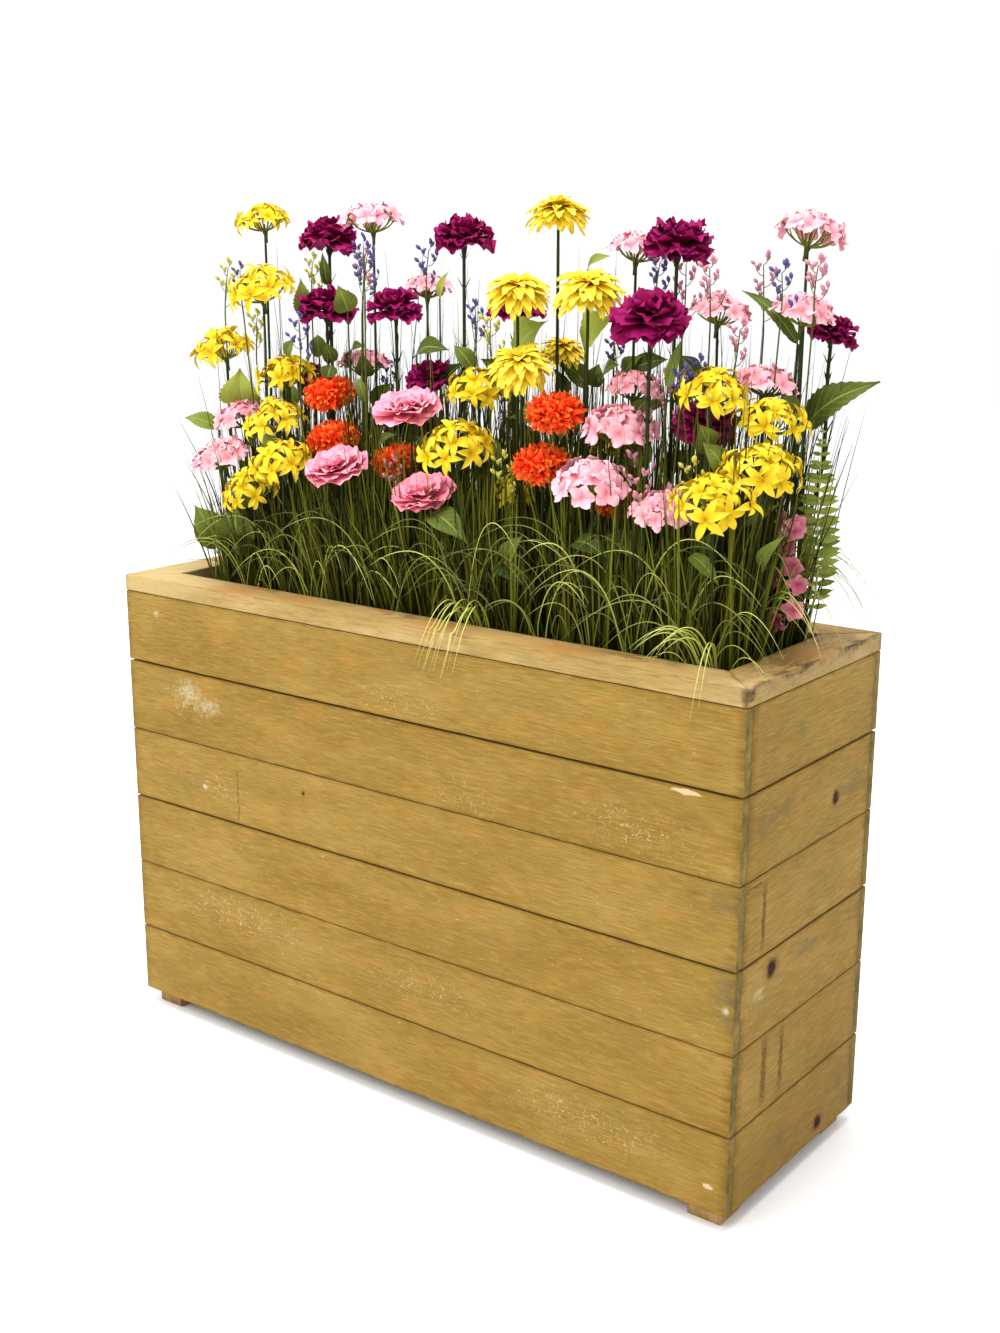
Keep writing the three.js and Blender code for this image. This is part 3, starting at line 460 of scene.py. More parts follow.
class Term:
    """A number, a colour or a vector in a finish's node tree. What is worked out from it is a node too."""

    def __init__(self, finish, socket, kind=NUMBERS):
        self.finish = finish
        self.socket = socket
        self.kind = kind

    def math(self, operation, *values):
        """An operation on the values, or on this term alone."""
        made = self.finish.node(self.kind, *(values or [self]), operation=operation)
        return Term(self.finish, made.outputs[0], self.kind)

    def __add__(self, other):
        return self.math("ADD", self, other)

    def __sub__(self, other):
        return self.math("SUBTRACT", self, other)

    def __rsub__(self, other):
        return self.math("SUBTRACT", other, self)

    def __mul__(self, other):
        return self.math("MULTIPLY", self, other)

    def __abs__(self):
        return self.math("ABSOLUTE")

    def larger(self, other):
        return self.math("MAXIMUM", self, other)

    def length(self):
        made = self.finish.node(VECTORS, self, operation="LENGTH")
        return Term(self.finish, made.outputs["Value"])

    def split(self):
        made = self.finish.node("ShaderNodeSeparateXYZ", self)
        return [Term(self.finish, socket) for socket in made.outputs]

    def noise(self, scale, detail=3.0, roughness=0.55, output="Fac"):
        made = self.finish.node("ShaderNodeTexNoise", self)
        for name, value in (("Scale", scale), ("Detail", detail), ("Roughness", roughness)):
            made.inputs[name].default_value = value
        return Term(self.finish, made.outputs[output], VECTORS if output == "Color" else NUMBERS)

    def ramp(self, *stops):
        """A grey or a colour between the stops, each a place from 0 to 1 and its value."""
        made = self.finish.node("ShaderNodeValToRGB", self)
        elements = made.color_ramp.elements
        while len(elements) < len(stops):
            elements.new(1.0)
        for element, (place, value) in zip(elements, stops):
            element.position = place
            element.color = linear(value) if isinstance(value, tuple) else (value, value, value, 1.0)
        return Term(self.finish, made.outputs["Color"])

    def between(self, low, high):
        """A colour on the way from one colour to another, as far as this share."""
        made = self.finish.node("ShaderNodeMix", self, data_type="RGBA")
        for i, value in ((6, low), (7, high)):
            self.finish.feed(made.inputs[i], linear(value) if isinstance(value, tuple) else value)
        return Term(self.finish, made.outputs[2])


class Finish:
    """A material, whose node tree is put together from terms."""

    def __init__(self, name, roughness):
        self.material = bpy.data.materials.new(name)
        self.material.use_nodes = True
        self.tree = self.material.node_tree
        self.shader = self.tree.nodes["Principled BSDF"]
        self.shader.inputs["Roughness"].default_value = roughness
        self.shader.inputs["Specular IOR Level"].default_value = 0.06

    def feed(self, socket, value):
        if isinstance(value, Term):
            self.tree.links.new(value.socket, socket)
        else:
            socket.default_value = value

    def node(self, kind, *values, **settings):
        made = self.tree.nodes.new(kind)
        for setting, value in settings.items():
            setattr(made, setting, value)
        for i, value in enumerate(values):
            self.feed(made.inputs[i], value)
        return made

    def attribute(self, name):
        return Term(self, self.node("ShaderNodeAttribute", attribute_name=name).outputs["Vector"], VECTORS)

    def position(self):
        return Term(self, self.node("ShaderNodeTexCoord").outputs["Object"], VECTORS)

    def paint(self, colour, height, distance, strength=0.6):
        """Gives the material its colour and its bumps."""
        bump = self.node("ShaderNodeBump")
        bump.inputs["Strength"].default_value = strength
        bump.inputs["Distance"].default_value = distance
        self.feed(bump.inputs["Height"], height)
        self.feed(self.shader.inputs["Normal"], Term(self, bump.outputs["Normal"]))
        self.feed(self.shader.inputs["Base Color"], colour)
        return self.material


def petal_finish(name, base, middle, tip, shade, special=None):
    """A petal's colour from its base to its tip, shaded from petal to petal, with fine veins. Petals
    of the highest tone have the special colour, where there is one."""
    finish = Finish(name, 0.65)
    along, across, tone = finish.attribute("place").split()
    mottle = finish.position().noise(90, 2.0)
    lines = (across * 34.0).math("SINE")
    colour = along.ramp((0.0, base), (0.45, middle), (1.0, tip))
    colour = ((tone + mottle) * 0.5).ramp((0.4, 0.0), (0.8, 0.65)).between(colour, shade)
    colour = (lines.ramp((0.3, 0.0), (1.0, 0.22)) * along).between(colour, shade)
    if special:
        colour = tone.ramp((0.97, 0.0), (0.99, 1.0)).between(colour, special)
    return finish.paint(colour, lines * 0.3 + mottle, 0.0006)


def green_finish(name, low, high, pale):
    """Stems: those of a low tone are dark and stalks of a high tone pale. All are paler near the soil."""
    finish = Finish(name, 0.5)
    along, _, tone = finish.attribute("place").split()
    mottle = finish.position().noise(220)
    colour = along.ramp((0.0, low), (0.4, high), (1.0, high))
    colour = tone.ramp((0.3, 0.0), (0.95, 1.0)).between(colour, pale)
    return finish.paint((mottle * 0.45).between(colour, low), mottle, 0.0005)


def grass_finish(name, root, middle, tip, dark):
    """Blades with a pale rib, darker towards their roots. Those of a high tone are dark. In the upright turf
    the dark roots and the dark blades are painted shade, deep in the turf and between the lit blades.
    """
    finish = Finish(name, 0.45)
    along, across, tone = finish.attribute("place").split()
    mottle = finish.position().noise(160, 2.0)
    rib = 1.0 - abs(across)
    colour = along.ramp((0.0, root), (0.45, middle), (1.0, tip))
    colour = tone.ramp((0.3, 0.0), (0.95, 1.0)).between(colour, dark)
    colour = (rib * 0.2).between(colour, tip)
    return finish.paint((mottle * 0.3).between(colour, root), rib + mottle, 0.0004)


def leaf_finish(name, dark, light, vein):
    """A leaf with a pale rib, side veins that run out and forwards from it, and mottled green between."""
    finish = Finish(name, 0.45)
    along, across, tone = finish.attribute("place").split()
    away = abs(across)
    mottle = finish.position().noise(60, 4.0)
    cloudy = mottle.ramp((0.35, 0.0), (0.8, 0.5)) * tone.ramp((0.5, 1.0), (1.0, 0.2))
    near = abs((along * 8.0 - away * 2.2).math("FRACT") - 0.5)
    veins = near.ramp((0.0, 0.4), (0.07, 0.0)).larger(away.ramp((0.0, 0.8), (0.09, 0.0)))
    colour = cloudy.between(tone.between(dark, light), dark)
    return finish.paint(veins.between(colour, vein), mottle - veins, 0.0012)


def bud_finish(name):
    """Buds of three kinds, told apart by their tone: lavender, pink and yellow-green."""
    finish = Finish(name, 0.65)
    along, _, tone = finish.attribute("place").split()
    mottle = finish.position().noise(300, 2.0)

    def by_kind(lavender, pink, yellow_green):
        return tone.ramp((0.3, lavender), (0.34, pink), (0.64, pink), (0.68, yellow_green))

    low = by_kind((46, 42, 76), (140, 80, 90), (126, 130, 44))
    high = by_kind((98, 90, 146), (204, 142, 154), (200, 192, 90))
    return finish.paint(((along + mottle) * 0.66).between(low, high), mottle, 0.0006)


def soil_finish(name):
    """Dark crumbs with pale fibres."""
    finish = Finish(name, 0.95)
    where = finish.position()
    lumps = where.noise(90, 6.0, 0.7)
    fibres = (where * (1, 1, 3)).noise(400)
    colour = lumps.ramp((0.3, (18, 13, 9)), (0.55, (52, 38, 25)), (0.8, (84, 62, 40)))
    colour = fibres.ramp((0.62, 0.0), (0.8, 0.7)).between(colour, (112, 88, 58))
    return finish.paint(colour, lumps, 0.006, 1.0)


FRONT_Y = -BOX_WIDTH / 2
RIGHT_X = BOX_LENGTH / 2

# Marks on the boards by kind, in the order of painting, each as where its middle is along the side, its
# height and its half sizes. Those on the right-hand side come first, and then those on the front.
BOARD_MARKS = {
    # The first mark, low on the right-hand side, is painted shade that darkens the lower part of that side.
    "dirt": ([(20, 40, 260, 150)], []),
    "ring": ([(63, 475, 15, 15), (-81, 306, 24, 19), (63, 43, 22, 17)], [(-161, 402, 6, 7)]),
    "knot": ([(63, 475, 9, 11), (-81, 306, 13, 15), (63, 43, 12, 11)], [(-161, 402, 2.5, 2.5)]),
    "kerf": ([(-90, 180, 7.5, 50), (-47, 178, 6.5, 48), (-107, 378, 5, 48), (-128, 422, 20, 2)],
             [(-286, 371, 1.4, 46)]),
    "grey": ([(-100, 490, 70, 18), (-20, 502, 70, 14), (110, 484, 60, 20), (-104, 276, 40, 20),
              (10, 300, 60, 14), (132, 66, 40, 40), (-40, 64, 60, 18)],
             [(478, 399, 40, 40), (488, 300, 24, 56)]),
    "green": ([(-31, 584, 24, 10)], []),
    "rubbed": ([(-106, 284, 24, 12)], []),
    "scratched": ([], [(-392, 492, 50, 38), (110, 456, 60, 34), (-330, 380, 70, 30), (360, 470, 110, 40),
                       (0, 560, 110, 22), (-300, 190, 180, 40), (40, 180, 120, 30), (300, 80, 170, 40)]),
    "smear": ([], [(-378, 504, 34, 20), (-340, 490, 30, 14), (-440, 612, 9, 9)]),
    "chip": ([], [(429, 528, 22, 3.5), (475, 55, 8, 4)]),
    "milky": ([], [(489, 281, 6, 6), (-352, 372, 6, 5)]),
}

# Half depths of the marks on the front that are shallower than the others
FRONT_DEPTHS = {"ring": 8, "knot": 8}

# Marks on the cap rails by kind, each as its middle, whose height counts from the rim, and its half sizes
CAP_MARKS = {
    "dirt": [((RIGHT_X - 26, 0, 0), (60, 240, 60))],
    "grey": [((RIGHT_X - 20, 0, 0), (60, 190, 24))],
    "dark": [((RIGHT_X, -60, 0), (12, 110, 10)), ((RIGHT_X - 2, -158, -8), (12, 14, 18)),
             ((RIGHT_X, 100, 0), (9, 70, 9))],
    "rubbed": [((RIGHT_X - 16, -160, 2), (30, 14, 8)), ((80, FRONT_Y + 4, -4), (18, 8, 8))],
    "stain": [((RIGHT_X - 20, -40, 0), (34, 70, 6)), ((RIGHT_X - 30, 90, 0), (34, 60, 6)),
              ((330, FRONT_Y + 40, 0), (120, 26, 6)), ((0, FRONT_Y + 40, 0), (180, 26, 6)),
              ((-260, FRONT_Y + 46, 0), (90, 16, 6))],
    "bleached": [((-450, FRONT_Y + 60, 0), (150, 160, 60))],
    "rust": [((-290, FRONT_Y + 20, 0), (60, 40, 16)), ((-190, FRONT_Y + 30, 0), (50, 34, 16)),
             ((50, FRONT_Y + 20, 0), (60, 40, 16)), ((240, FRONT_Y + 24, 0), (70, 36, 16)),
             ((RIGHT_X - 20, 20, 0), (40, 70, 12))],
}

# Each kind of mark as its colour, how much it covers, how far in its edge fades and how far that wavers
MARK_KINDS = {
    "ring": ((112, 66, 30), 0.8, 0.75, 8),
    "knot": ((32, 17, 4), 0.97, 0.5, 8),
    "kerf": ((86, 60, 20), 0.9, 0.5, 9),
    "grey": ((98, 88, 62), 0.7, 1.0, 30),
    "green": ((84, 98, 66), 0.8, 1.0, 16),
    "scratched": ((200, 188, 146), 0.5, 0.9, 16),
    "milky": ((196, 188, 160), 0.7, 0.9, 8),
    "smear": ((200, 192, 164), 0.55, 1.0, 50),
    # Dirt on the cap's right-hand end, and painted shade low on the right-hand side of the boards
    "dirt": ((96, 70, 30), 0.42, 1.0, 40),
    "chip": ((204, 172, 138), 0.9, 0.3, 6),
    "dark": ((50, 40, 28), 0.85, 0.7, 14),
    "rubbed": ((186, 166, 126), 0.8, 0.7, 14),
    "stain": ((96, 62, 24), 0.75, 0.9, 24),
    "bleached": ((192, 168, 118), 0.8, 1.0, 40),
    "rust": ((160, 108, 52), 0.6, 1.0, 30),
}
SCRATCHED = {"scratched"}
PATCHY = {"grey", "dark", "rubbed", "stain", "green"}
CRUMBLY = {"smear", "kerf"}
SQUARE_ENDED = {"kerf"}


def board_marks():
    """Each mark on the boards as its middle, its half sizes and its kind."""
    for kind, (side, front) in BOARD_MARKS.items():
        depth = FRONT_DEPTHS.get(kind, BOARD_THICKNESS)
        for y, z, half_y, half_z in side:
            yield (RIGHT_X, y, z), (BOARD_THICKNESS, half_y, half_z), kind
        for x, z, half_x, half_z in front:
            yield (x, FRONT_Y, z), (half_x, depth, half_z), kind


def cap_marks():
    """Each mark on the cap rails as its middle, its half sizes and its kind."""
    for kind, marks in CAP_MARKS.items():
        for (x, y, z), sizes in marks:
            yield (x, y, RIM_HEIGHT + z), sizes, kind


def add_marks(colour, where, scribbles, patches, marks):
    """Marks painted over a colour. Their outlines waver, and some kinds break up."""
    drift = where.noise(120, output="Color") - (0.5, 0.5, 0.5)
    crumbs = where.noise(260, 4.0, 0.7).ramp((0.4, 0.5), (0.56, 1.0))
    for middle, sizes, kind in marks:
        tint, cover, fade, waver = MARK_KINDS[kind]
        offset = where + drift * ((waver * MM,) * 3) - tuple(value * MM for value in middle)
        shares = offset * tuple(1 / (size * MM) for size in sizes)
        if kind in SQUARE_ENDED:
            x, y, z = abs(shares).split()
            distance = x.larger(y).larger(z)
        else:
            distance = shares.length()
        mask = distance.ramp((1 - fade, cover), (1.0, 0.0))
        for kinds, holes in ((SCRATCHED, scribbles), (PATCHY, patches), (CRUMBLY, crumbs)):
            if kind in kinds:
                mask = mask * holes
        colour = mask.between(colour, tint)
    return colour


def wood_finish(name, colours, marks=(), axis=None):
    """Stained old timber. Planks bring their own grain directions as an attribute. On a plain solid the
    grain runs along the axis given."""
    finish = Finish(name, 0.62)
    where = finish.position()
    if axis is None:
        grain = finish.attribute("grain")
        edge, end, tone = finish.attribute("wear").split()
    else:
        x, y, z = where.split()
        order = {"x": (x, y, z), "y": (y, x, z)}[axis]
        grain = Term(finish, finish.node("ShaderNodeCombineXYZ", *order).outputs[0], VECTORS)

    def streaks(along, across, detail=3.0, roughness=0.6):
        return (grain * (along, across, across)).noise(1.0, detail, roughness)

    deep, mid, pale = colours
    colour = streaks(5, 14, 4.0).ramp((0.32, deep), (0.5, mid), (0.68, pale))
    if axis is None:
        colour = (tone * 0.3).between(colour, pale)

    # Orange and olive clouds, growth rings as wavy lines, coarse and fine fibres, and pale and grey flecks
    clouds = streaks(16, 34, 3.0, 0.5)
    rings = (streaks(4, 26, 2.0) * 52.0 + grain.split()[2] * 620.0).math("SINE")
    coarse = streaks(36, 480)
    fibres = streaks(50, 1100, 3.0, 0.65)
    speckle = streaks(150, 330, 4.0, 0.7)
    layers = [
        (clouds, (0.55, 0.0), (0.75, 0.4), (172, 120, 56)),
        (clouds, (0.25, 0.4), (0.45, 0.0), (128, 112, 48)),
        (rings, (0.5, 0.0), (1.0, 0.1), (110, 80, 28)),
        (coarse, (0.5, 0.0), (0.74, 0.42), (106, 78, 28)),
        (coarse, (0.26, 0.3), (0.46, 0.0), (178, 150, 86)),
        (fibres, (0.52, 0.0), (0.8, 0.5), (96, 70, 26)),
        (fibres, (0.2, 0.45), (0.46, 0.0), (184, 158, 98)),
        (speckle, (0.65, 0.0), (0.7, 0.5), (196, 180, 130)),
        (streaks(9, 30, 4.0), (0.58, 0.0), (0.75, 0.3), (116, 102, 62)),
    ]
    for share, low, high, tint in layers:
        colour = share.ramp(low, high).between(colour, tint)

    # Darker arrises, and weathered ends
    patches = streaks(30, 70, 4.0, 0.65).ramp((0.42, 0.0), (0.58, 1.0))
    if axis is None:
        colour = (edge * (patches * 0.4 + 0.1)).between(colour, (88, 62, 26))
        crust = where.noise(34, 6.0, 0.75)
        colour = end.between(colour, crust.ramp((0.36, (84, 70, 32)), (0.5, (110, 94, 48)),
                                                (0.64, (134, 114, 62))))

    # Scratches, which are broken thin lines and flecks
    contour = abs(where.noise(75, 1.0) - 0.5)
    broken = where.noise(210, 2.0).ramp((0.44, 0.0), (0.54, 1.0))
    lines = contour.ramp((0.008, 1.0), (0.02, 0.0)) * broken
    scribbles = lines.larger(speckle.ramp((0.6, 0.0), (0.66, 1.0)))
    colour = add_marks(colour, where, scribbles, patches, marks)
    finish.feed(finish.shader.inputs["Roughness"], coarse.ramp((0.3, 0.5), (0.7, 0.74)))
    return finish.paint(colour, fibres * 0.6 + coarse * 0.7, 0.0009)


# Box pieces

ARC_POINTS = 4
FACE_SHARES = [0.03, 0.2, 0.4, 0.6, 0.8, 0.97]
EDGE_SHARES = [0.1, 0.9]


def rounded_section(thickness, half_low, half_high, radii):
    """A plank's section at each station, as points in thickness and height, and which of them lie on an
    arris. Each of the four arrises has its own radius, which changes from station to station."""
    half = thickness / 2
    corners = [(1, -1, 0.75), (1, 1, 0.0), (-1, 1, 0.25), (-1, -1, 0.5)]
    arcs = []
    for (side, level, first), radius in zip(corners, radii):
        reach = half_high if level > 0 else half_low
        for k in range(ARC_POINTS):
            angle = FULL_TURN * (first + 0.25 * k / (ARC_POINTS - 1))
            across = side * (half - radius) + radius * math.cos(angle)
            up = level * (reach - radius) + radius * math.sin(angle)
            arcs.append(np.stack([across, up], -1))
    points, edge = [], []
    for corner in range(4):
        arc = arcs[corner * ARC_POINTS:(corner + 1) * ARC_POINTS]
        ahead = arcs[(corner + 1) * ARC_POINTS % len(arcs)]
        shares = FACE_SHARES if corner % 2 == 0 else EDGE_SHARES
        points += arc + [arc[-1] * (1 - share) + ahead * share for share in shares]
        edge += [1.0] * ARC_POINTS + [0.0] * len(shares)
    return np.stack(points, 1), np.array(edge)


def timber(name, length, thickness, half_low, half_high, turn, middle, material, seed, mitred=False,
           wear=1.0, low_wear=1.0, step=14.0):
    """A worn plank along X. The turn brings its own length, thickness and height to the frame."""
    draw = np.random.default_rng(seed)
    stations = np.linspace(-length / 2, length / 2, max(int(length / step), 8))
    radii = []
    for chipping in (low_wear, wear, wear, low_wear):
        bite = np.clip(wander(stations, 34, draw) - 0.6, 0, 1) * 3 * chipping
        radii.append(np.clip(0.75 + 0.35 * wander(stations, 60, draw) + bite, 0.5, 4.5))
    section, edge = rounded_section(thickness, half_low, half_high, radii)
    inset = 1.2
    shrink = [1 - 2 * inset / thickness, 1 - inset / half_high]
    section = np.concatenate([section[:1] * shrink, section, section[-1:] * shrink])
    stations = np.concatenate([stations[:1], stations, stations[-1:]])
    stations[1] += inset
    stations[-2] -= inset
    rows, ring = section.shape[:2]
    along = np.repeat(stations[:, None], ring, 1)
    if mitred:
        along = along * (1 - 2 * (section[..., 0] + thickness / 2) / length)
    swell = 0.35 * wander(stations, 150, draw)[:, None] * (1 - edge)[None, :]
    local = np.stack([along, section[..., 0] + swell * np.sign(section[..., 0]), section[..., 1]], -1)
    faces = [grid_faces(rows, ring, closed=True)]
    ladder = np.arange(ring // 2 - 1)
    rung = np.stack([ladder, ladder + 1, ring - 2 - ladder, ring - 1 - ladder], -1)
    faces += [rung[:, ::-1], rung + (rows - 1) * ring]
    wear_values = np.zeros((rows, ring, 3))
    wear_values[..., 0] = edge[None, :]
    wear_values[[0, 1, -2, -1], :, 0] = 1.0
    wear_values[[0, -1], :, 1] = 0.0 if mitred else 1.0
    wear_values[..., 2] = draw.uniform(0, 1)
    local = local.reshape(-1, 3)
    vectors = {"grain": local * MM + draw.uniform(-4, 4, 3), "wear": wear_values.reshape(-1, 3)}
    points = local @ np.asarray(turn, float).T + middle
    return make_piece(name, points * MM, np.concatenate(faces), vectors, material)


def side_turn(quarters):
    """The turn of a side: its length along the side, its thickness outwards and its height up."""
    c, s = round(math.cos(quarters * math.pi / 2)), round(math.sin(quarters * math.pi / 2))
    return np.array([[c, s, 0], [s, -c, 0], [0, 0, 1.0]])


def make_boards(material):
    side_y = BOX_WIDTH / 2 - BOARD_THICKNESS / 2
    end_x = BOX_LENGTH / 2 - BOARD_THICKNESS / 2
    gaps = [BOARD_SEAM, *SEAM_WIDTHS, BOARD_SEAM + 2 * CAP_LINE]
    sides = [("front", 0, -side_y, BOX_LENGTH), ("right", end_x, 0, INNER_WIDTH),
             ("back", 0, side_y, BOX_LENGTH), ("left", -end_x, 0, INNER_WIDTH)]
    for course in range(COURSES):
        z = FOOT_HEIGHT + BOARD_HEIGHT / 2 + course * COURSE_PITCH
        low = BOARD_HEIGHT / 2 - (gaps[course] - BOARD_SEAM) / 2
        high = BOARD_HEIGHT / 2 - (gaps[course + 1] - BOARD_SEAM) / 2
        for i, (side, x, y, length) in enumerate(sides):
            node = f"{side}_board_{course + 1}"
            piece = timber(f"worn_{node}", length, BOARD_THICKNESS, low, high, side_turn(i),
                           np.array([x, y, z]), material, seed=100 + 10 * course + i)
            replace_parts(piece, node)


def make_cap(material):
    """Four rails that lie flat. A rail's thickness across counts from its outer face inwards."""
    half = CAP_THICKNESS / 2
    for i, side in enumerate(["front", "right", "back", "left"]):
        length, distance = (BOX_LENGTH, BOX_WIDTH / 2) if i % 2 == 0 else (BOX_WIDTH, BOX_LENGTH / 2)
        out = side_turn(i)[:, 1]
        middle = out * (distance - CAP_WIDTH / 2) + np.array([0, 0, CAP_UNDERSIDE + half])
        turn = side_turn(i) @ np.diag([1.0, -1.0, 1.0])
        piece = timber(f"worn_cap_{side}", length, CAP_WIDTH, half, half, turn, middle, material,
                       seed=200 + i, mitred=True, wear=1.5, low_wear=0.2, step=9.0)
        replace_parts(piece, f"cap_{side}")


def make_posts(material):
    """Posts in the corners, whose lower ends are the feet."""
    x = INNER_LENGTH / 2 - POST_SIDE / 2
    y = INNER_WIDTH / 2 - POST_SIDE / 2
    upright = np.array([[0, 1, 0], [0, 0, 1], [1, 0, 0.0]])
    for i, (name_y, sign_y) in enumerate([("front", -1), ("back", 1)]):
        for k, (name_x, sign_x) in enumerate([("left", -1), ("right", 1)]):
            node = f"post_{name_y}_{name_x}"
            middle = np.array([sign_x * x, sign_y * y, CAP_UNDERSIDE / 2])
            piece = timber(f"worn_{node}", CAP_UNDERSIDE, POST_SIDE, POST_SIDE / 2, POST_SIDE / 2, upright,
                           middle, material, seed=220 + 2 * i + k)
            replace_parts(piece, node)


SOIL_COLUMNS = 190
SOIL_ROWS = 60
BARK_CHIPS = 900


def make_soil(material):
    """The soil bed: a crumbly top strewn with chips of bark, and plain sides down to the floor."""
    draw = np.random.default_rng(7)
    half_x = INNER_LENGTH / 2 - SOIL_CLEARANCE
    half_y = INNER_WIDTH / 2 - SOIL_CLEARANCE
    xs, ys = np.meshgrid(np.linspace(-half_x, half_x, SOIL_COLUMNS), np.linspace(-half_y, half_y, SOIL_ROWS))
    height = SOIL_TOP + draw.uniform(-3.0, 3.5, xs.shape) + 3 * np.sin(xs / 37) * np.sin(ys / 29)
    pile = Pile()
    pile.add(np.stack([xs, ys, height], -1), grid_faces(SOIL_ROWS, SOIL_COLUMNS), 0, 0, 0)
    corners = np.array([[-1, -1], [1, -1], [1, 1], [-1, 1]]) * [half_x, half_y]
    walls = np.concatenate([np.c_[corners, np.full(4, SOIL_TOP)], np.c_[corners, np.full(4, SOIL_BOTTOM)]])
    pile.add(walls, [[0, 4, 5, 1], [1, 5, 6, 2], [2, 6, 7, 3], [3, 7, 4, 0], [4, 7, 6, 5]], 0, 0, 0)
    count = BARK_CHIPS
    roots = np.stack([draw.uniform(-MOUTH_X, MOUTH_X, count), draw.uniform(-MOUTH_Y, MOUTH_Y, count),
                      draw.uniform(SOIL_TOP, SOIL_TOP + 4, count)], -1)
    petals(pile, about_z(draw.uniform(0, FULL_TURN, count)), roots, draw.uniform(6, 16, count),
           draw.uniform(3, 8, count), draw.uniform(-0.2, 0.5, count), -0.3, paddle_outline, cup=-0.5,
           rows=3, columns=4)
    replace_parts(pile.build("soil_bed", material, "soil"), "soil")


# Planting

FRONT_ROW = ["florets_left", "lilies_left", "sprigs_left", "pompons_left", "roses",
             "lilies_middle", "pompons_right", "florets_middle", "sprigs_right", "lilies_right"]
BACK_ROW = ["leaves_left", "lilies_tall", "carnations_left", "florets_tall", "carnations_middle",
            "leaves_middle", "dahlias", "carnations_right", "leaves_right", "florets_right"]

# Each head's place as (x, y, height of the top of its stem, width)
HEADS = {
    "lilies_tall": [(-367, 0, 543, 70), (-332, -42, 449, 88), (-303, -30, 337, 78), (-434, -18, 367, 80)],
    "lilies_left": [(-290, -64, 281, 78), (-243, -104, 231, 82), (-298, -106, 189, 76)],
    "lilies_middle": [(18, -14, 333, 82), (46, -92, 271, 86), (68, 0, 209, 66)],
    "lilies_right": [(364, -30, 351, 82), (426, -4, 323, 74), (438, -42, 271, 84), (410, -98, 241, 86)],
    "carnations_left": [(-294, 50, 521, 84), (-264, 10, 429, 84), (-352, 54, 333, 64), (-190, 94, 271, 74)],
    "carnations_middle": [(-133, 2, 433, 76), (-36, 24, 521, 82), (-88, 20, 343, 74), (24, 54, 437, 74)],
    "carnations_right": [(280, 24, 515, 86), (300, -62, 433, 92), (336, 2, 315, 80), (438, 112, 420, 60)],
    "dahlias": [(119, 12, 561, 78), (100, -44, 469, 80), (196, -34, 472, 84), (114, -54, 383, 80),
                (106, 44, 396, 62), (150, 102, 277, 72)],
    "florets_left": [(-374, -84, 225, 84), (-378, -40, 277, 76)],
    "florets_tall": [(-186, 20, 541, 82), (-132, 66, 457, 66), (-242, 62, 351, 72)],
    "florets_middle": [(252, -42, 301, 92), (248, -94, 243, 94), (332, -76, 221, 76), (218, 34, 345, 72),
                       (198, 64, 507, 72)],
    "florets_right": [(412, 92, 525, 84), (430, 52, 439, 74), (322, 50, 437, 74), (396, 34, 359, 74)],
    "roses": [(-47, -70, 309, 88), (-144, -98, 229, 88), (-6, -92, 207, 84)],
    "pompons_left": [(-231, -20, 314, 66), (-205, -40, 257, 66), (-104, -30, 234, 62)],
    "pompons_right": [(165, -52, 316, 66), (152, -60, 254, 66), (222, -12, 214, 56)],
    "sprigs_left": [(-178, -14, 435, 80), (-136, -54, 455, 70), (-253, -56, 355, 70)],
    "sprigs_right": [(262, 70, 425, 80), (290, -6, 305, 70), (360, 92, 425, 80)],
}

# Each kind's maker, how much wider its finer heads are, how far they lean forwards, and its stems' radius
KINDS = {
    "lilies": (lily_head, 1.08, 0.15, 2.0),
    "dahlias": (dahlia_head, 1.12, 0.35, 2.2),
    "carnations": (carnation_head, 1.03, 0.2, 2.5),
    "florets": (floret_head, 1.04, 0.15, 2.0),
    "roses": (rose_head, 1.0, 0.42, 2.0),
    "pompons": (pompon_head, 1.06, 0.2, 2.0),
}
TALLEST_STEM = 560
LEAN_FADE = 120
HEAD_MIDDLE = 0.25

# Tones of sprigs, and single sprigs beside the two sprig plants, as a tone and the tips (x, y, height)
LAVENDER, PINK, YELLOW_GREEN = 0.15, 0.5, 0.85
SINGLE_SPRIGS = [
    (LAVENDER, [(-87, 10, 519), (16, -20, 448), (243, 40, 507), (419, 20, 498), (340, -60, 386),
                (352, -40, 397), (-373, -40, 489)]),
    (PINK, [(-207, 20, 508), (347, -10, 502), (455, 30, 505), (374, 0, 435), (-57, -90, 256),
            (318, -96, 270), (289, -60, 310)]),
    (YELLOW_GREEN, [(-452, 0, 492), (-361, -30, 427), (-301, 20, 502), (110, -80, 272), (375, -80, 285),
                    (43, -20, 436)]),
    (PINK, [(-20, 96, 325)]),
    (LAVENDER, [(-240, 104, 355), (150, 100, 405)]),
    (YELLOW_GREEN, [(320, 104, 365)]),
]

# Broad leaves of the three leaf plants, as (base of the blade, tip, width, tone)
BROAD_LEAVES = {
    "leaves_left": [
        ((-416, -4, 302), (-404, -22, 356), 60, 1.0), ((-424, -46, 274), (-477, -62, 285), 26, 0.5),
        ((-300, 96, 185), (-262, 128, 231), 44, 0.2), ((-420, 30, 145), (-458, 8, 187), 42, 0.4),
        ((-312, 22, 431), (-302, 0, 481), 30, 0.6)],
    "leaves_middle": [
        ((60, 12, 384), (122, -10, 438), 62, 0.75), ((60, 8, 320), (114, -16, 310), 36, 0.3),
        ((-10, 96, 325), (-58, 120, 369), 36, 0.3), ((92, 92, 185), (126, 134, 225), 44, 0.3),
        ((4, 38, 215), (-14, 2, 245), 32, 0.3)],
    "leaves_right": [
        ((152, 26, 398), (212, 0, 446), 56, 1.0), ((422, 60, 418), (345, 64, 476), 18, 0.15),
        ((422, 88, 323), (509, 96, 378), 42, 0.2), ((352, 108, 245), (400, 140, 285), 40, 0.3)],
}

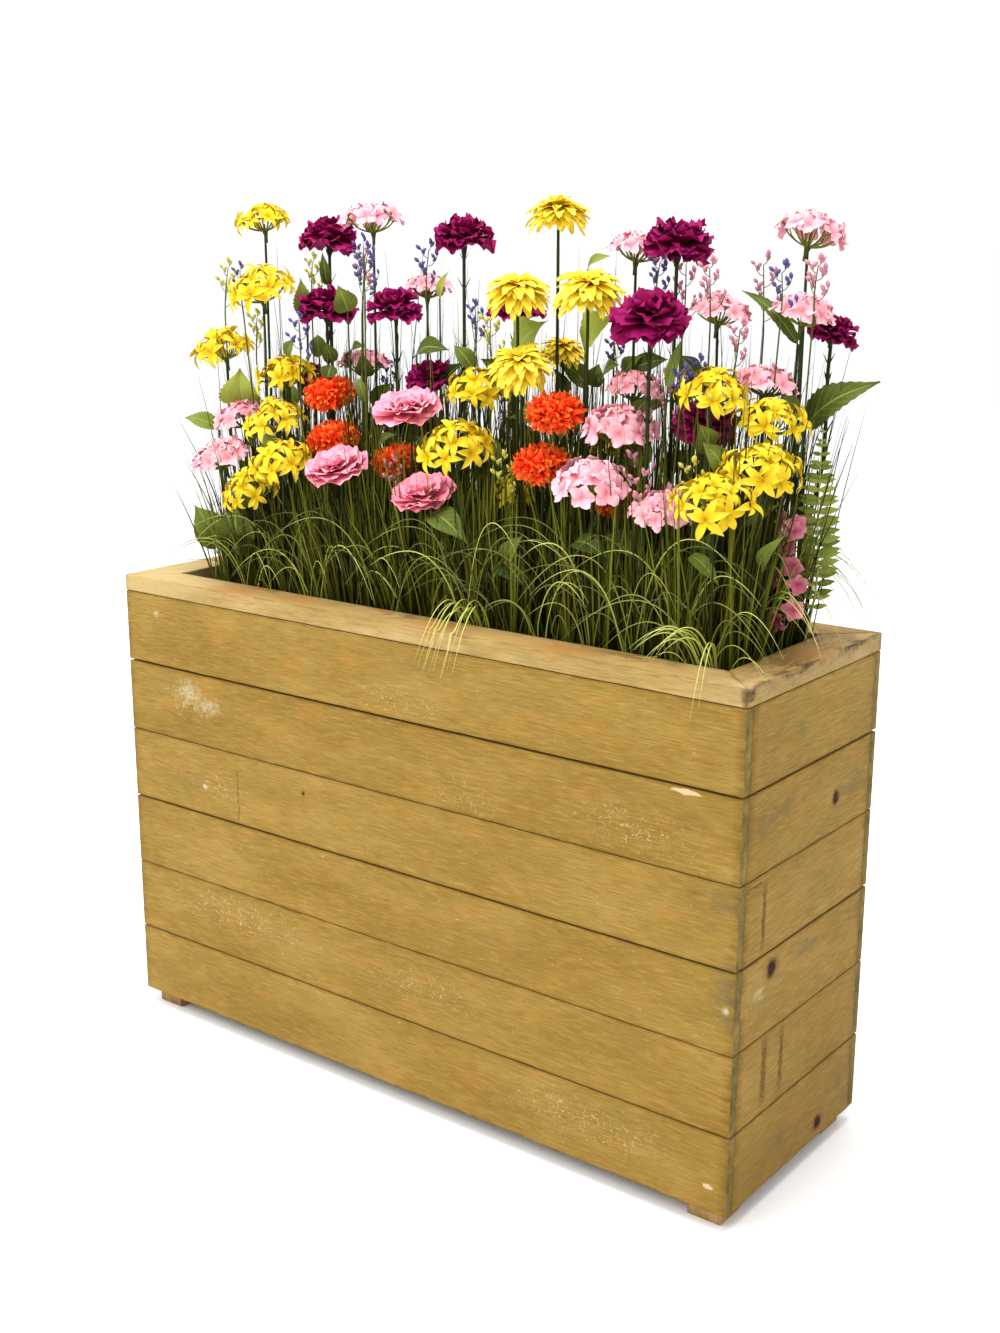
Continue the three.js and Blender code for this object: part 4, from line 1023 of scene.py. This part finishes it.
# Single leaves on thin stems of their own, as (base of the blade, tip, width, tone)
SINGLE_LEAVES = [
    ((-270, 20, 472), (-270, 10, 516), 15, 0.1), ((-194, -24, 440), (-196, -40, 474), 34, 0.35),
    ((-73, 20, 459), (-48, 10, 495), 12, 0.9), ((-96, 0, 388), (-34, -10, 396), 34, 0.1),
    ((158, 20, 498), (196, 10, 514), 18, 0.6), ((318, -50, 370), (337, -50, 429), 13, 0.4),
    ((8, -98, 203), (78, -112, 172), 36, 0.25), ((-402, -72, 110), (-431, -92, 168), 50, 0.5),
    ((-348, -88, 127), (-333, -105, 181), 58, 0.25), ((-346, -44, 245), (-284, -60, 268), 34, 0.5),
    ((-120, -60, 125), (-92, -78, 167), 34, 0.2), ((214, -80, 186), (276, -100, 175), 30, 0.1),
    ((440, -40, 172), (482, -62, 222), 18, 0.5), ((103, -80, 151), (154, -98, 126), 42, 0.0),
    ((240, -60, 188), (306, -86, 176), 32, 0.1), ((378, -88, 190), (424, -102, 162), 20, 0.3),
    ((-30, -40, 250), (-52, -56, 292), 30, 0.3), ((120, -90, 150), (152, -100, 190), 26, 0.3),
]

# Small dark leaves that fill the space among the stems, from one corner of it to the other
LOW_LEAVES = 110
LOW_LEAF_SPACE = [(-390, 420), (-50, 100), (130, 380)]


def above_soil(x, y, height):
    return np.array([x, y, SOIL_TOP + height], float)


def crown_place(name):
    row = FRONT_ROW if name in FRONT_ROW else BACK_ROW
    x = (row.index(name) - (len(row) - 1) / 2) * CROWN_PITCH
    return above_soil(x, -CROWN_ROW_Y if row is FRONT_ROW else CROWN_ROW_Y, 0)


def stem_line(crown, foot, count=14):
    """A stem leaves its crown, bends over low down and then stands almost upright under its head."""
    away = np.array([foot[0] - crown[0], foot[1] - crown[1], 0.0])
    distance = np.linalg.norm(away)
    start = crown + away * min(1.0, (CROWN_SIDE / 2 - 8) / max(distance, 1e-6))
    start[2] = ROOT_LEVEL
    knee = crown + 0.9 * away
    knee[2] = SOIL_TOP + STEM_KNEE + 0.3 * distance
    return smooth_line([start, knee, foot], count)


def head_turn(x, y, forward):
    """Heads look up, a little out of the box and as far forward as asked."""
    return looking([x / BOX_LENGTH + 0.5 * forward, 2.2 * y / BOX_WIDTH - 0.12 - 0.7 * forward, 2.4])[0]


def narrow_leaves(greens, line, draw):
    """Pairs of narrow leaves up a carnation's stem."""
    for place in (len(line) - 1) * np.linspace(0.62, 0.98, 9):
        low = int(place)
        spot = line[low] + (line[low + 1] - line[low]) * (place - low)
        turns = about_z(draw.uniform(0, FULL_TURN) + np.array([0, math.pi]))
        petals(greens, turns, spot, length=draw.uniform(13, 26), width=3.2, start=1.0, bend=0.2,
               outline=pointed_outline, cup=0.5, tone=0.1, rows=6, columns=3)


def make_plant(name, seed, materials):
    kind = name.split("_")[0]
    draw = np.random.default_rng(seed)
    crown = crown_place(name)
    blooms, greens = Pile(), Pile()
    for x, y, height, width in HEADS[name]:
        foot = above_soil(x, y, height)
        if kind == "sprigs":
            tube(greens, stem_line(crown, foot), np.linspace(1.6, 1.1, 14), sides=6, tone=0.5)
            tone = LAVENDER if name == "sprigs_left" else PINK
            bud_spray(blooms, greens, foot, width, tone, draw)
            continue
        maker, swell, forward, radius = KINDS[kind]
        turn = head_turn(x, y, forward * np.clip((TALLEST_STEM - height) / LEAN_FADE, 0, 1))
        # A head that leans more than its solid does keeps the middle of the solid
        middle = np.array([0, 0, HEAD_MIDDLE * width])
        foot = foot + head_turn(x, y, 0) @ middle - turn @ middle
        line = stem_line(crown, foot)
        tube(greens, line, np.linspace(radius + 0.3, radius - 0.3, len(line)), sides=7, tone=0.0)
        maker(blooms, greens, foot, turn, width * swell, draw)
        if kind == "carnations":
            narrow_leaves(greens, line, draw)
    piece = blooms.build(f"{name}_heads", materials[kind], kind)
    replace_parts(piece, name)
    greens.build(f"{name}_stems", materials["stems"], "leaves")


def make_trailing_flowers(materials):
    """Small flowers in pairs down a stem that arches over near the right-hand end."""
    draw = np.random.default_rng(440)
    blooms, greens = Pile(), Pile()
    crown = crown_place("florets_right") + [20, -8, -6]
    arch = [above_soil(*place) for place in [(426, 30, 125), (440, 26, 217), (452, 18, 185), (456, 12, 115)]]
    line = smooth_line([crown, *arch], 40)
    tube(greens, line, 1.3, sides=6, tone=0.7)
    for i, share in enumerate(np.linspace(0.58, 1.0, 5)):
        spot = line[int(share * (len(line) - 1))]
        for k in range(2):
            out = unit([0.7 * math.cos(3.1 * k + i), -0.75, 0.5 * math.sin(3.1 * k + i) + 0.1])
            place = spot + out * draw.uniform(10, 20)
            tube(greens, np.array([spot, (spot + place) / 2, place]), 0.8, sides=4, tone=0.9)
            small_flower(blooms, place, looking(out)[0], draw.uniform(13, 16), draw)
    blooms.build("trailing_heads", materials["dusky"], "florets")
    greens.build("trailing_stem", materials["stems"], "leaves")


def make_leaves(materials):
    """The leaves of the three leaf plants. The first one of the middle plant is lobed, and so is the
    first one of the right plant."""
    for i, (name, leaves) in enumerate(BROAD_LEAVES.items()):
        draw = np.random.default_rng(400 + i)
        blades, greens = Pile(), Pile()
        for k, (base, tip, width, tone) in enumerate(leaves):
            base, tip = above_soil(*base), above_soil(*tip)
            tube(greens, stem_line(crown_place(name), base), 1.7, sides=6, tone=0.3)
            lobed = name != "leaves_left" and k == 0
            leaf(blades, base, tip, width, tone, draw, teeth=0.25, lobes=0.3 if lobed else 0.0)
        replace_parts(blades.build(f"{name}_blades", materials["leaves"], "leaves"), name)
        greens.build(f"{name}_stems", materials["stems"], "leaves")


def make_single_leaves(materials):
    """Leaves on stems of their own, and the small dark leaves among all the stems."""
    draw = np.random.default_rng(410)
    blades, greens = Pile(), Pile()
    for base, tip, width, tone in SINGLE_LEAVES:
        base, tip = above_soil(*base), above_soil(*tip)
        root = np.array([base[0] * 0.94, np.clip(base[1], -90, 90), ROOT_LEVEL])
        tube(greens, smooth_line([root, (root + base) / 2 + [0, 0, 20], base], 9), 1.2, sides=5, tone=0.4)
        leaf(blades, base, tip, width, tone, draw, teeth=0.08)
    for _ in range(LOW_LEAVES):
        base = above_soil(*[draw.uniform(low, high) for low, high in LOW_LEAF_SPACE])
        tip = base + draw.uniform(-1, 1, 3) * [46, 26, 12] + [0, 0, 26]
        tube(greens, [[base[0] * 0.98, base[1] * 0.9, ROOT_LEVEL], base], 1.2, sides=5, tone=0.4)
        leaf(blades, base, tip, draw.uniform(14, 30), draw.uniform(0, 0.4), draw)
    blades.build("single_leaf_blades", materials["leaves"], "leaves")
    greens.build("single_leaf_stems", materials["stems"], "leaves")


def make_single_sprigs(materials):
    draw = np.random.default_rng(420)
    buds, greens = Pile(), Pile()
    for tone, tips in SINGLE_SPRIGS:
        for x, y, top in tips:
            length = draw.uniform(46, 66)
            foot = above_soil(x, y, top - length)
            root = np.array([np.clip(x * 0.95, -430, 430), np.clip(y, -88, 88), ROOT_LEVEL])
            bend = (root + foot) / 2 + draw.uniform(-8, 8, 3)
            tube(greens, smooth_line([root, bend, foot], 10), np.linspace(1.4, 1.0, 10), sides=5, tone=0.5)
            bud_spray(buds, greens, foot, length, tone, draw)
    buds.build("single_sprig_buds", materials["sprigs"], "sprigs")
    greens.build("single_sprig_stems", materials["stems"], "leaves")


FERN_FACING = unit([0.45, -0.9, 0.1])
FERN_PAIRS = 26
FERN_STATIONS = 60


def make_fern(material):
    """One frond with narrow leaflets in pairs. The longest are a little below the middle pair."""
    draw = np.random.default_rng(430)
    places = [(420, 86, -6), (446, 88, 125), (458, 60, 225), (462, 54, 327)]
    rib = smooth_line([above_soil(*place) for place in places], FERN_STATIONS)
    pile = Pile()
    tube(pile, rib, np.linspace(1.7, 0.5, FERN_STATIONS), sides=6, tone=0.2)
    for share in np.linspace(0, 1, FERN_PAIRS):
        spot = rib[int((0.3 + 0.69 * share) * (FERN_STATIONS - 1))]
        length = 4 + 24 * math.sin(math.pi * (0.2 + 0.8 * share))
        for side in (-1, 1):
            across = unit(np.cross(FERN_FACING, [0, 0, side]) + [0, 0, 0.18])
            out = unit(FERN_FACING - across * (FERN_FACING @ across))
            turn = np.stack([np.cross(across, out), across, out], -1)
            petals(pile, turn[None], spot, length=length, width=0.27 * length + 1.6, start=0.1, bend=-0.5,
                   outline=pointed_outline, cup=-0.2, tone=draw.uniform(0, 1), rows=6, columns=5)
    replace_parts(pile.build("fern_blades", material, "fern"), "fern_frond")


# Grass

BLADE_POINTS = 7
HEAD_BALL = 0.42
BLOCKED_SHARE = 0.66

# What each clump of upright grass has: blades, heights, how far it spreads and widths
UPRIGHT_GRASS = [
    (20, (140, 250), 11, (2.4, 4.4)),
    (24, (200, 380), 17, (1.8, 3.2)),
    (2, (330, 470), 18, (1.6, 2.4)),
]
# Share of the upright blades that are dark, as painted shade between the lit ones
PAINTED_SHADE_SHARE = 0.62
LEANING_PART = 230
FABRIC_REACH = np.array([BOX_LENGTH / 2 + 30, BOX_WIDTH / 2 + 38])

# How far blades keep from the walls of the mouth, from the outer edges of the cap and above the rim
WALL_CLEARANCE = 3
EDGE_CLEARANCE = 7
RIM_CLEARANCE = 2.5

# Rows of turf as (name, from y, to y, clumps, how much painted shade they have beyond the front row, share of
# the heights). The rows further back are darker, as painted shade in depth.
GRASS_ROWS = [
    ("grass_front", -MOUTH_Y + 24, -46, 78, 0.0, 0.78),
    ("grass_middle", -50, 46, 68, 0.15, 1.0),
    ("grass_back", 50, MOUTH_Y - 12, 60, 0.2, 1.08),
]

# Tufts of weeping grass as (x, y, blades)
WEEPING_TUFTS = [
    (-392, -80, 5), (-318, -92, 10), (-262, -84, 8), (-200, -98, 10), (-130, -90, 5), (-60, -98, 8),
    (10, -94, 6), (66, -98, 9), (130, -88, 5), (186, -98, 8), (250, -92, 7), (312, -98, 9),
    (366, -92, 7), (412, -96, 14), (412, -20, 9), (416, 40, 12), (408, 90, 9), (-404, 20, 6),
    (-396, 88, 7), (-280, 98, 7), (-150, 100, 7), (-20, 98, 7), (120, 100, 7), (260, 98, 7),
]

# Weeping blades that hang over the rim, as (root, tip, height of the arch, blades, spread). Heights
# count from the soil.
OVER_THE_RIM = [
    ((88, -98, 0), (86, -192, 32), 118, 10, 60),
    ((424, -98, 0), (448, -190, 34), 120, 2, 10),
    ((416, -98, 0), (356, -140, 78), 110, 8, 40),
    ((410, 10, 0), (528, -30, 90), 160, 7, 70),
    ((404, 84, 0), (529, 60, 112), 180, 7, 60),
    ((412, 60, 0), (526, 118, 16), 190, 2, 8),
    ((-404, 20, 0), (-500, -148, 75), 88, 2, 8),
    ((-195, 98, 0), (-205, 202, 90), 190, 6, 50),
    ((100, 98, 0), (106, 202, 96), 180, 5, 60),
    ((250, 98, 0), (256, 202, 92), 185, 6, 50),
]

# Long straight blades that lean out over an end, as (x of the roots, how far, blades, heights)
LEANING = [(414, 78, 18, (200, 430)), (-404, -44, 8, (110, 220))]


def clear_of_heads(lines):
    """Which of the lines pass no head, taken as balls round their middles."""
    rows = np.array([head for name, heads in HEADS.items() for head in heads if "sprigs" not in name], float)
    middles = rows[:, :3] + [0, 0, SOIL_TOP] + np.outer(rows[:, 3], [0, 0, HEAD_MIDDLE])
    gaps = np.linalg.norm(lines[:, :, None] - middles, axis=-1) - HEAD_BALL * rows[:, 3]
    return (gaps > 0).all(axis=(1, 2))


def inside_mouth(points):
    """Below the rim blades stay inside the mouth of the box, and over the rim they stay above it."""
    x, y, z = points[..., 0], points[..., 1], points[..., 2]
    low = (z < RIM_HEIGHT + WALL_CLEARANCE) & (np.abs(x) < MOUTH_X + 4) & (np.abs(y) < MOUTH_Y + 12)
    points[..., 1] = np.where(low, np.clip(y, -MOUTH_Y + WALL_CLEARANCE, MOUTH_Y - WALL_CLEARANCE), y)
    far_x, far_y = np.abs(points[..., 0]), np.abs(points[..., 1])
    over = (far_x < BOX_LENGTH / 2 + EDGE_CLEARANCE) & (far_y < BOX_WIDTH / 2 + EDGE_CLEARANCE)
    over &= (far_x > MOUTH_X - 2) | (far_y > MOUTH_Y - 2)
    points[..., 2] = np.where(over, np.maximum(z, RIM_HEIGHT + RIM_CLEARANCE), z)
    points[..., :2] = np.clip(points[..., :2], -FABRIC_REACH, FABRIC_REACH)
    return points


def ribbons(pile, lines, widths, facing, tones):
    """Folded blades along many lines at once."""
    count, steps, _ = lines.shape
    ahead = unit(np.gradient(lines, axis=1))
    side = unit(np.cross(ahead, facing[:, None]))
    fold = np.cross(side, ahead)
    t = np.linspace(0, 1, steps)[:, None]
    half = 0.5 * widths[:, None, None] * np.clip(1.03 - t ** 3.5, 0.14, 1)
    points = np.stack([lines - side * half, lines - fold * half * 0.45, lines + side * half], 2)
    faces = repeated(grid_faces(steps, 3), count, steps * 3)
    pile.add(points, faces, t, [-1, 0, 1], tones[:, None, None])


def upright_blades(pile, draw, low_y, high_y, clumps, painted_row_shade, taller, each, heights, spread, widths):
    """Clumps of stiff blades that spread a little from their own middles. Many of them are dark, as painted
    shade between the lit blades, and the rows further back are darker, as painted shade in depth.
    """
    middle_x = draw.uniform(-MOUTH_X + 34, MOUTH_X - 14, clumps)
    middle_y = draw.uniform(low_y, high_y, clumps)
    count = clumps * each
    own = np.repeat(np.arange(clumps), each)
    angle = draw.uniform(0, FULL_TURN, count)
    away = np.sqrt(draw.uniform(0, 1, count))
    root_x = middle_x[own] + spread * away * np.cos(angle)
    root_y = middle_y[own] + spread * away * np.sin(angle)
    height = taller * draw.uniform(*heights, count) * draw.uniform(0.86, 1.1, clumps)[own]
    tilt = 0.15 * np.minimum(height, LEANING_PART) * (0.3 + away) * draw.uniform(0.1, 1.4, count)
    # Dark blades are painted shade between the lit ones, and the row's own offset is painted shade that
    # deepens towards the back
    dark = draw.uniform(0, 1, count) < PAINTED_SHADE_SHARE
    tone = painted_row_shade + np.where(dark, 0.7, 0.0) + draw.uniform(0, 0.3, count)
    tone = tone + draw.uniform(-0.2, 0.4, clumps)[own]
    t = np.linspace(0, 1, BLADE_POINTS)[None, :]
    bow = t ** draw.uniform(1.2, 2.4, count)[:, None]
    lines = np.empty((count, BLADE_POINTS, 3))
    lines[..., 0] = root_x[:, None] + bow * ((np.cos(angle) + 0.3 * root_x / MOUTH_X) * tilt)[:, None]
    lines[..., 1] = root_y[:, None] + bow * ((np.sin(angle) + 0.3 * root_y / MOUTH_Y) * tilt)[:, None]
    lines[..., 2] = ROOT_LEVEL + height[:, None] * t
    lines = inside_mouth(lines)

    # A blade that would run into a head ends below it, or is left out
    blocked = ~clear_of_heads(lines)
    foot = lines[blocked, :1]
    lines[blocked] = foot + (lines[blocked] - foot) * BLOCKED_SHARE
    clear = clear_of_heads(lines)
    count = int(clear.sum())
    spin = np.where(root_y[clear] > 40, 0.5, -0.5) * math.pi + draw.uniform(-1.1, 1.1, count)
    facing = np.stack([np.cos(spin), np.sin(spin), np.zeros(count)], -1)
    ribbons(pile, lines[clear], draw.uniform(*widths, count), facing, tone[clear])


ARC_FACING = np.array([0.3, 1.0, 0.5])
ARC_STATIONS = 21


def arcs(pile, draw, root, tip, top, widths, tones):
    """Thin blades that rise from their roots, arch over as high as their tops and end at their tips."""
    count = len(root)
    t = np.linspace(0, 1, ARC_STATIONS)[:, None]
    up = root * 0.92 + tip * 0.08
    up[:, 2] = SOIL_TOP + top
    over = root * 0.5 + tip * 0.5
    over[:, 2] = SOIL_TOP + 1.15 * top
    a, b, c, d = root[:, None], up[:, None], over[:, None], tip[:, None]
    lines = a * (1 - t) ** 3 + 3 * b * t * (1 - t) ** 2 + 3 * c * t ** 2 * (1 - t) + d * t ** 3
    facing = draw.uniform(-0.4, 0.4, (count, 3)) + ARC_FACING
    facing[:, 1] *= np.sign(root[:, 1])
    ribbons(pile, inside_mouth(lines), draw.uniform(*widths, count), facing, draw.uniform(*tones, count))


def weeping_tufts(pile, draw):
    """Fans of long thin blades that arch over to both sides. The widest arcs are the highest."""
    x, y, blades = np.array(WEEPING_TUFTS).T
    own = np.repeat(np.arange(len(x)), blades)
    count = len(own)
    root = np.stack([x[own], y[own], np.full(count, ROOT_LEVEL)], -1)
    root[:, :2] += draw.uniform(-13, 13, (count, 2))
    side = draw.choice([-1.0, 1.0], count)
    forwards = np.sign(y[own]) * draw.uniform(10, 46, count)
    reach = draw.uniform(60, 180, count)
    top = (0.45 * reach + draw.uniform(60, 120, count)) * draw.uniform(0.85, 1.3, len(x))[own]
    tip = root + np.stack([side * reach, forwards, np.zeros(count)], -1)
    limit = BOX_LENGTH / 2 + draw.uniform(-20, 28, count)
    tip[:, 0] = np.clip(tip[:, 0], -limit, limit)
    tip[:, 2] = SOIL_TOP + top - draw.uniform(0.15, 0.6, count) * reach
    arcs(pile, draw, root, tip, top, (1.1, 1.9), (0.2, 1.3))


def hanging_blades(pile, draw):
    """Sheaves of blades that reach over the rim from their roots."""
    for root, tip, top, blades, spread in OVER_THE_RIM:
        along = np.array([1.0, 0, 0]) if abs(tip[1]) > MOUTH_Y else np.array([0, 1.0, 0])
        shares = np.linspace(-0.5, 0.5, blades)[:, None] * spread * along
        roots = above_soil(*root) + 0.6 * shares + draw.uniform(-3, 3, (blades, 3)) * [1, 1, 0]
        tips = above_soil(*tip) + shares + draw.uniform(-1, 1, (blades, 3)) * [3, 2, 14]
        arcs(pile, draw, roots, tips, top * draw.uniform(0.92, 1.12, blades), (1.4, 2.1), (0.0, 0.4))


def leaning_blades(pile, draw, x, reach, count, heights):
    root = np.stack([x + draw.uniform(-18, 18, count), draw.uniform(-80, 100, count),
                     np.full(count, ROOT_LEVEL)], -1)
    tip = root + np.stack([draw.uniform(0.2, 1, count) * reach, draw.uniform(-20, 20, count),
                           draw.uniform(*heights, count)], -1)
    t = np.linspace(0, 1, BLADE_POINTS)[None, :, None]
    lines = root[:, None] * (1 - t) + tip[:, None] * t + np.array([0, 0, 18.0]) * np.sin(math.pi * t)
    facing = draw.uniform(-0.5, 0.5, (count, 3)) + [0.3, -1, 0]
    ribbons(pile, inside_mouth(lines), draw.uniform(1.3, 2.0, count), facing, draw.uniform(0, 0.7, count))


def make_grass(materials):
    draw = np.random.default_rng(500)
    for name, *row in GRASS_ROWS:
        pile = Pile()
        for kind in UPRIGHT_GRASS:
            upright_blades(pile, draw, *row, *kind)
        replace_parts(pile.build(f"{name}_blades", materials["grass"], "grass"), name)
    pile = Pile()
    weeping_tufts(pile, draw)
    hanging_blades(pile, draw)
    pile.build("weeping_blades", materials["weeping"], "grass")
    pile = Pile()
    for place in LEANING:
        leaning_blades(pile, draw, *place)
    pile.build("leaning_blades", materials["grass"], "grass")


# Stage, light and camera

FLOOR_HALF = 400.0
LIGHTS = [
    ("key_light", (-1.8, -3.2, 3.4), 2.6, 130),
    ("top_light", (0.3, -0.4, 4.4), 2.2, 150),
]
LIGHTS_AIM = Vector((0, 0, 0.6))


def make_stage():
    mesh = bpy.data.meshes.new("pale_floor")
    reach = FLOOR_HALF
    corners = [(-reach, -reach, 0), (reach, -reach, 0), (reach, reach, 0), (-reach, reach, 0)]
    mesh.from_pydata(corners, [], [(0, 1, 2, 3)])
    floor = bpy.data.objects.new("pale_floor", mesh)
    bpy.context.scene.collection.objects.link(floor)
    finish = Finish("pale_floor", 0.9)
    finish.shader.inputs["Base Color"].default_value = (0.85, 0.85, 0.85, 1.0)
    mesh.materials.append(finish.material)

    world = bpy.data.worlds.new("studio")
    world.use_nodes = True
    world.node_tree.nodes["Background"].inputs["Color"].default_value = (1.0, 1.0, 1.0, 1.0)
    world.node_tree.nodes["Background"].inputs["Strength"].default_value = 1.2
    bpy.context.scene.world = world
    bpy.context.scene.view_settings.view_transform = "Standard"

    for name, place, size, power in LIGHTS:
        lamp = bpy.data.lights.new(name, "AREA")
        lamp.size = size
        lamp.energy = power
        holder = bpy.data.objects.new(name, lamp)
        holder.location = place
        aim = LIGHTS_AIM - Vector(place)
        holder.rotation_euler = aim.to_track_quat("-Z", "Y").to_euler()
        bpy.context.scene.collection.objects.link(holder)


# The camera as it was fitted to the corners of the box in the photo
CAMERA_PLACE = (1.3037, -1.6552, 1.0912 + FOOT_HEIGHT * MM)
CAMERA_YAW = 37.307
CAMERA_DOWN = 14.508
CAMERA_ROLL = 0.227
CAMERA_LENS = 44.18


def make_camera():
    camera = bpy.data.cameras.new("camera")
    camera.sensor_width = 36
    camera.lens = CAMERA_LENS
    holder = bpy.data.objects.new("camera", camera)
    turn = Matrix.Rotation(math.radians(CAMERA_YAW), 4, "Z")
    turn = turn @ Matrix.Rotation(math.radians(90 - CAMERA_DOWN), 4, "X")
    turn = turn @ Matrix.Rotation(math.radians(CAMERA_ROLL), 4, "Z")
    holder.matrix_world = Matrix.Translation(CAMERA_PLACE) @ turn
    bpy.context.scene.collection.objects.link(holder)
    bpy.context.scene.camera = holder


# Everything in turn

def make_box():
    ochre = ((124, 95, 36), (135, 106, 45), (148, 120, 59))
    pale_ochre = ((150, 122, 66), (162, 134, 80), (178, 152, 104))
    brown = ((146, 106, 66), (164, 124, 80), (176, 142, 98))
    make_boards(wood_finish("stained_boards", ochre, board_marks()))
    make_cap(wood_finish("stained_cap", pale_ochre, cap_marks()))
    make_posts(wood_finish("stained_posts", brown))
    bearers = wood_finish("plain_bearers", ochre, axis="y")
    inside = {
        "floor_bearer_1": bearers,
        "floor_bearer_2": bearers,
        "floor_panel": wood_finish("plain_floor_panel", pale_ochre, axis="x"),
    }
    for node_name, material in inside.items():
        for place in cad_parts[node_name].material_slots:
            place.material = material
    make_soil(soil_finish("dark_soil"))


# Each flower's finish, as its name and a petal's colours at its base, at its middle, at its tip and in its
# shade. The dahlias' middle petals have a colour of their own, which comes last.
PETAL_COLOURS = {
    "lilies": ("yellow_lily", (208, 166, 18), (230, 202, 42), (238, 216, 78), (216, 174, 18)),
    "dahlias": ("yellow_dahlia", (255, 202, 24), (255, 224, 48), (255, 234, 88), (254, 204, 34),
                (240, 156, 28)),
    "carnations": ("magenta_carnation", (114, 2, 46), (134, 8, 66), (148, 25, 94), (118, 2, 56)),
    "florets": ("pink_floret", (220, 114, 124), (238, 166, 176), (244, 192, 200), (230, 154, 164)),
    "dusky": ("dusky_floret", (146, 54, 66), (192, 102, 120), (214, 140, 152), (162, 76, 94)),
    "roses": ("light_pink_rose", (238, 114, 142), (240, 136, 158), (243, 162, 178), (234, 130, 152)),
    "pompons": ("orange_pompon", (232, 26, 10), (255, 58, 20), (255, 146, 62), (240, 46, 18)),
}


def make_planting():
    materials = {kind: petal_finish(*colours) for kind, colours in PETAL_COLOURS.items()}
    materials |= {
        "sprigs": bud_finish("sprig_buds"),
        "stems": green_finish("green_stems", (60, 70, 22), (32, 46, 24), (118, 122, 44)),
        "leaves": leaf_finish("broad_leaves", (44, 58, 20), (156, 170, 70), (156, 168, 86)),
        # The upright grass's near-black root colour and dark colour are painted shade deep in the turf and
        # between the lit blades
        "grass": grass_finish("upright_grass", (22, 25, 4), (92, 94, 18), (128, 130, 38), (9, 12, 3)),
        "weeping": grass_finish("weeping_grass", (70, 80, 14), (162, 168, 62), (214, 218, 130), (58, 64, 14)),
        "fern": leaf_finish("fern_frond", (92, 106, 34), (148, 158, 72), (160, 168, 92)),
    }
    for i, plant_name in enumerate(HEADS):
        make_plant(plant_name, 300 + i, materials)
    make_trailing_flowers(materials)
    make_leaves(materials)
    make_single_leaves(materials)
    make_single_sprigs(materials)
    make_fern(materials["fern"])
    make_grass(materials)


make_camera()
make_stage()
make_box()
make_planting()
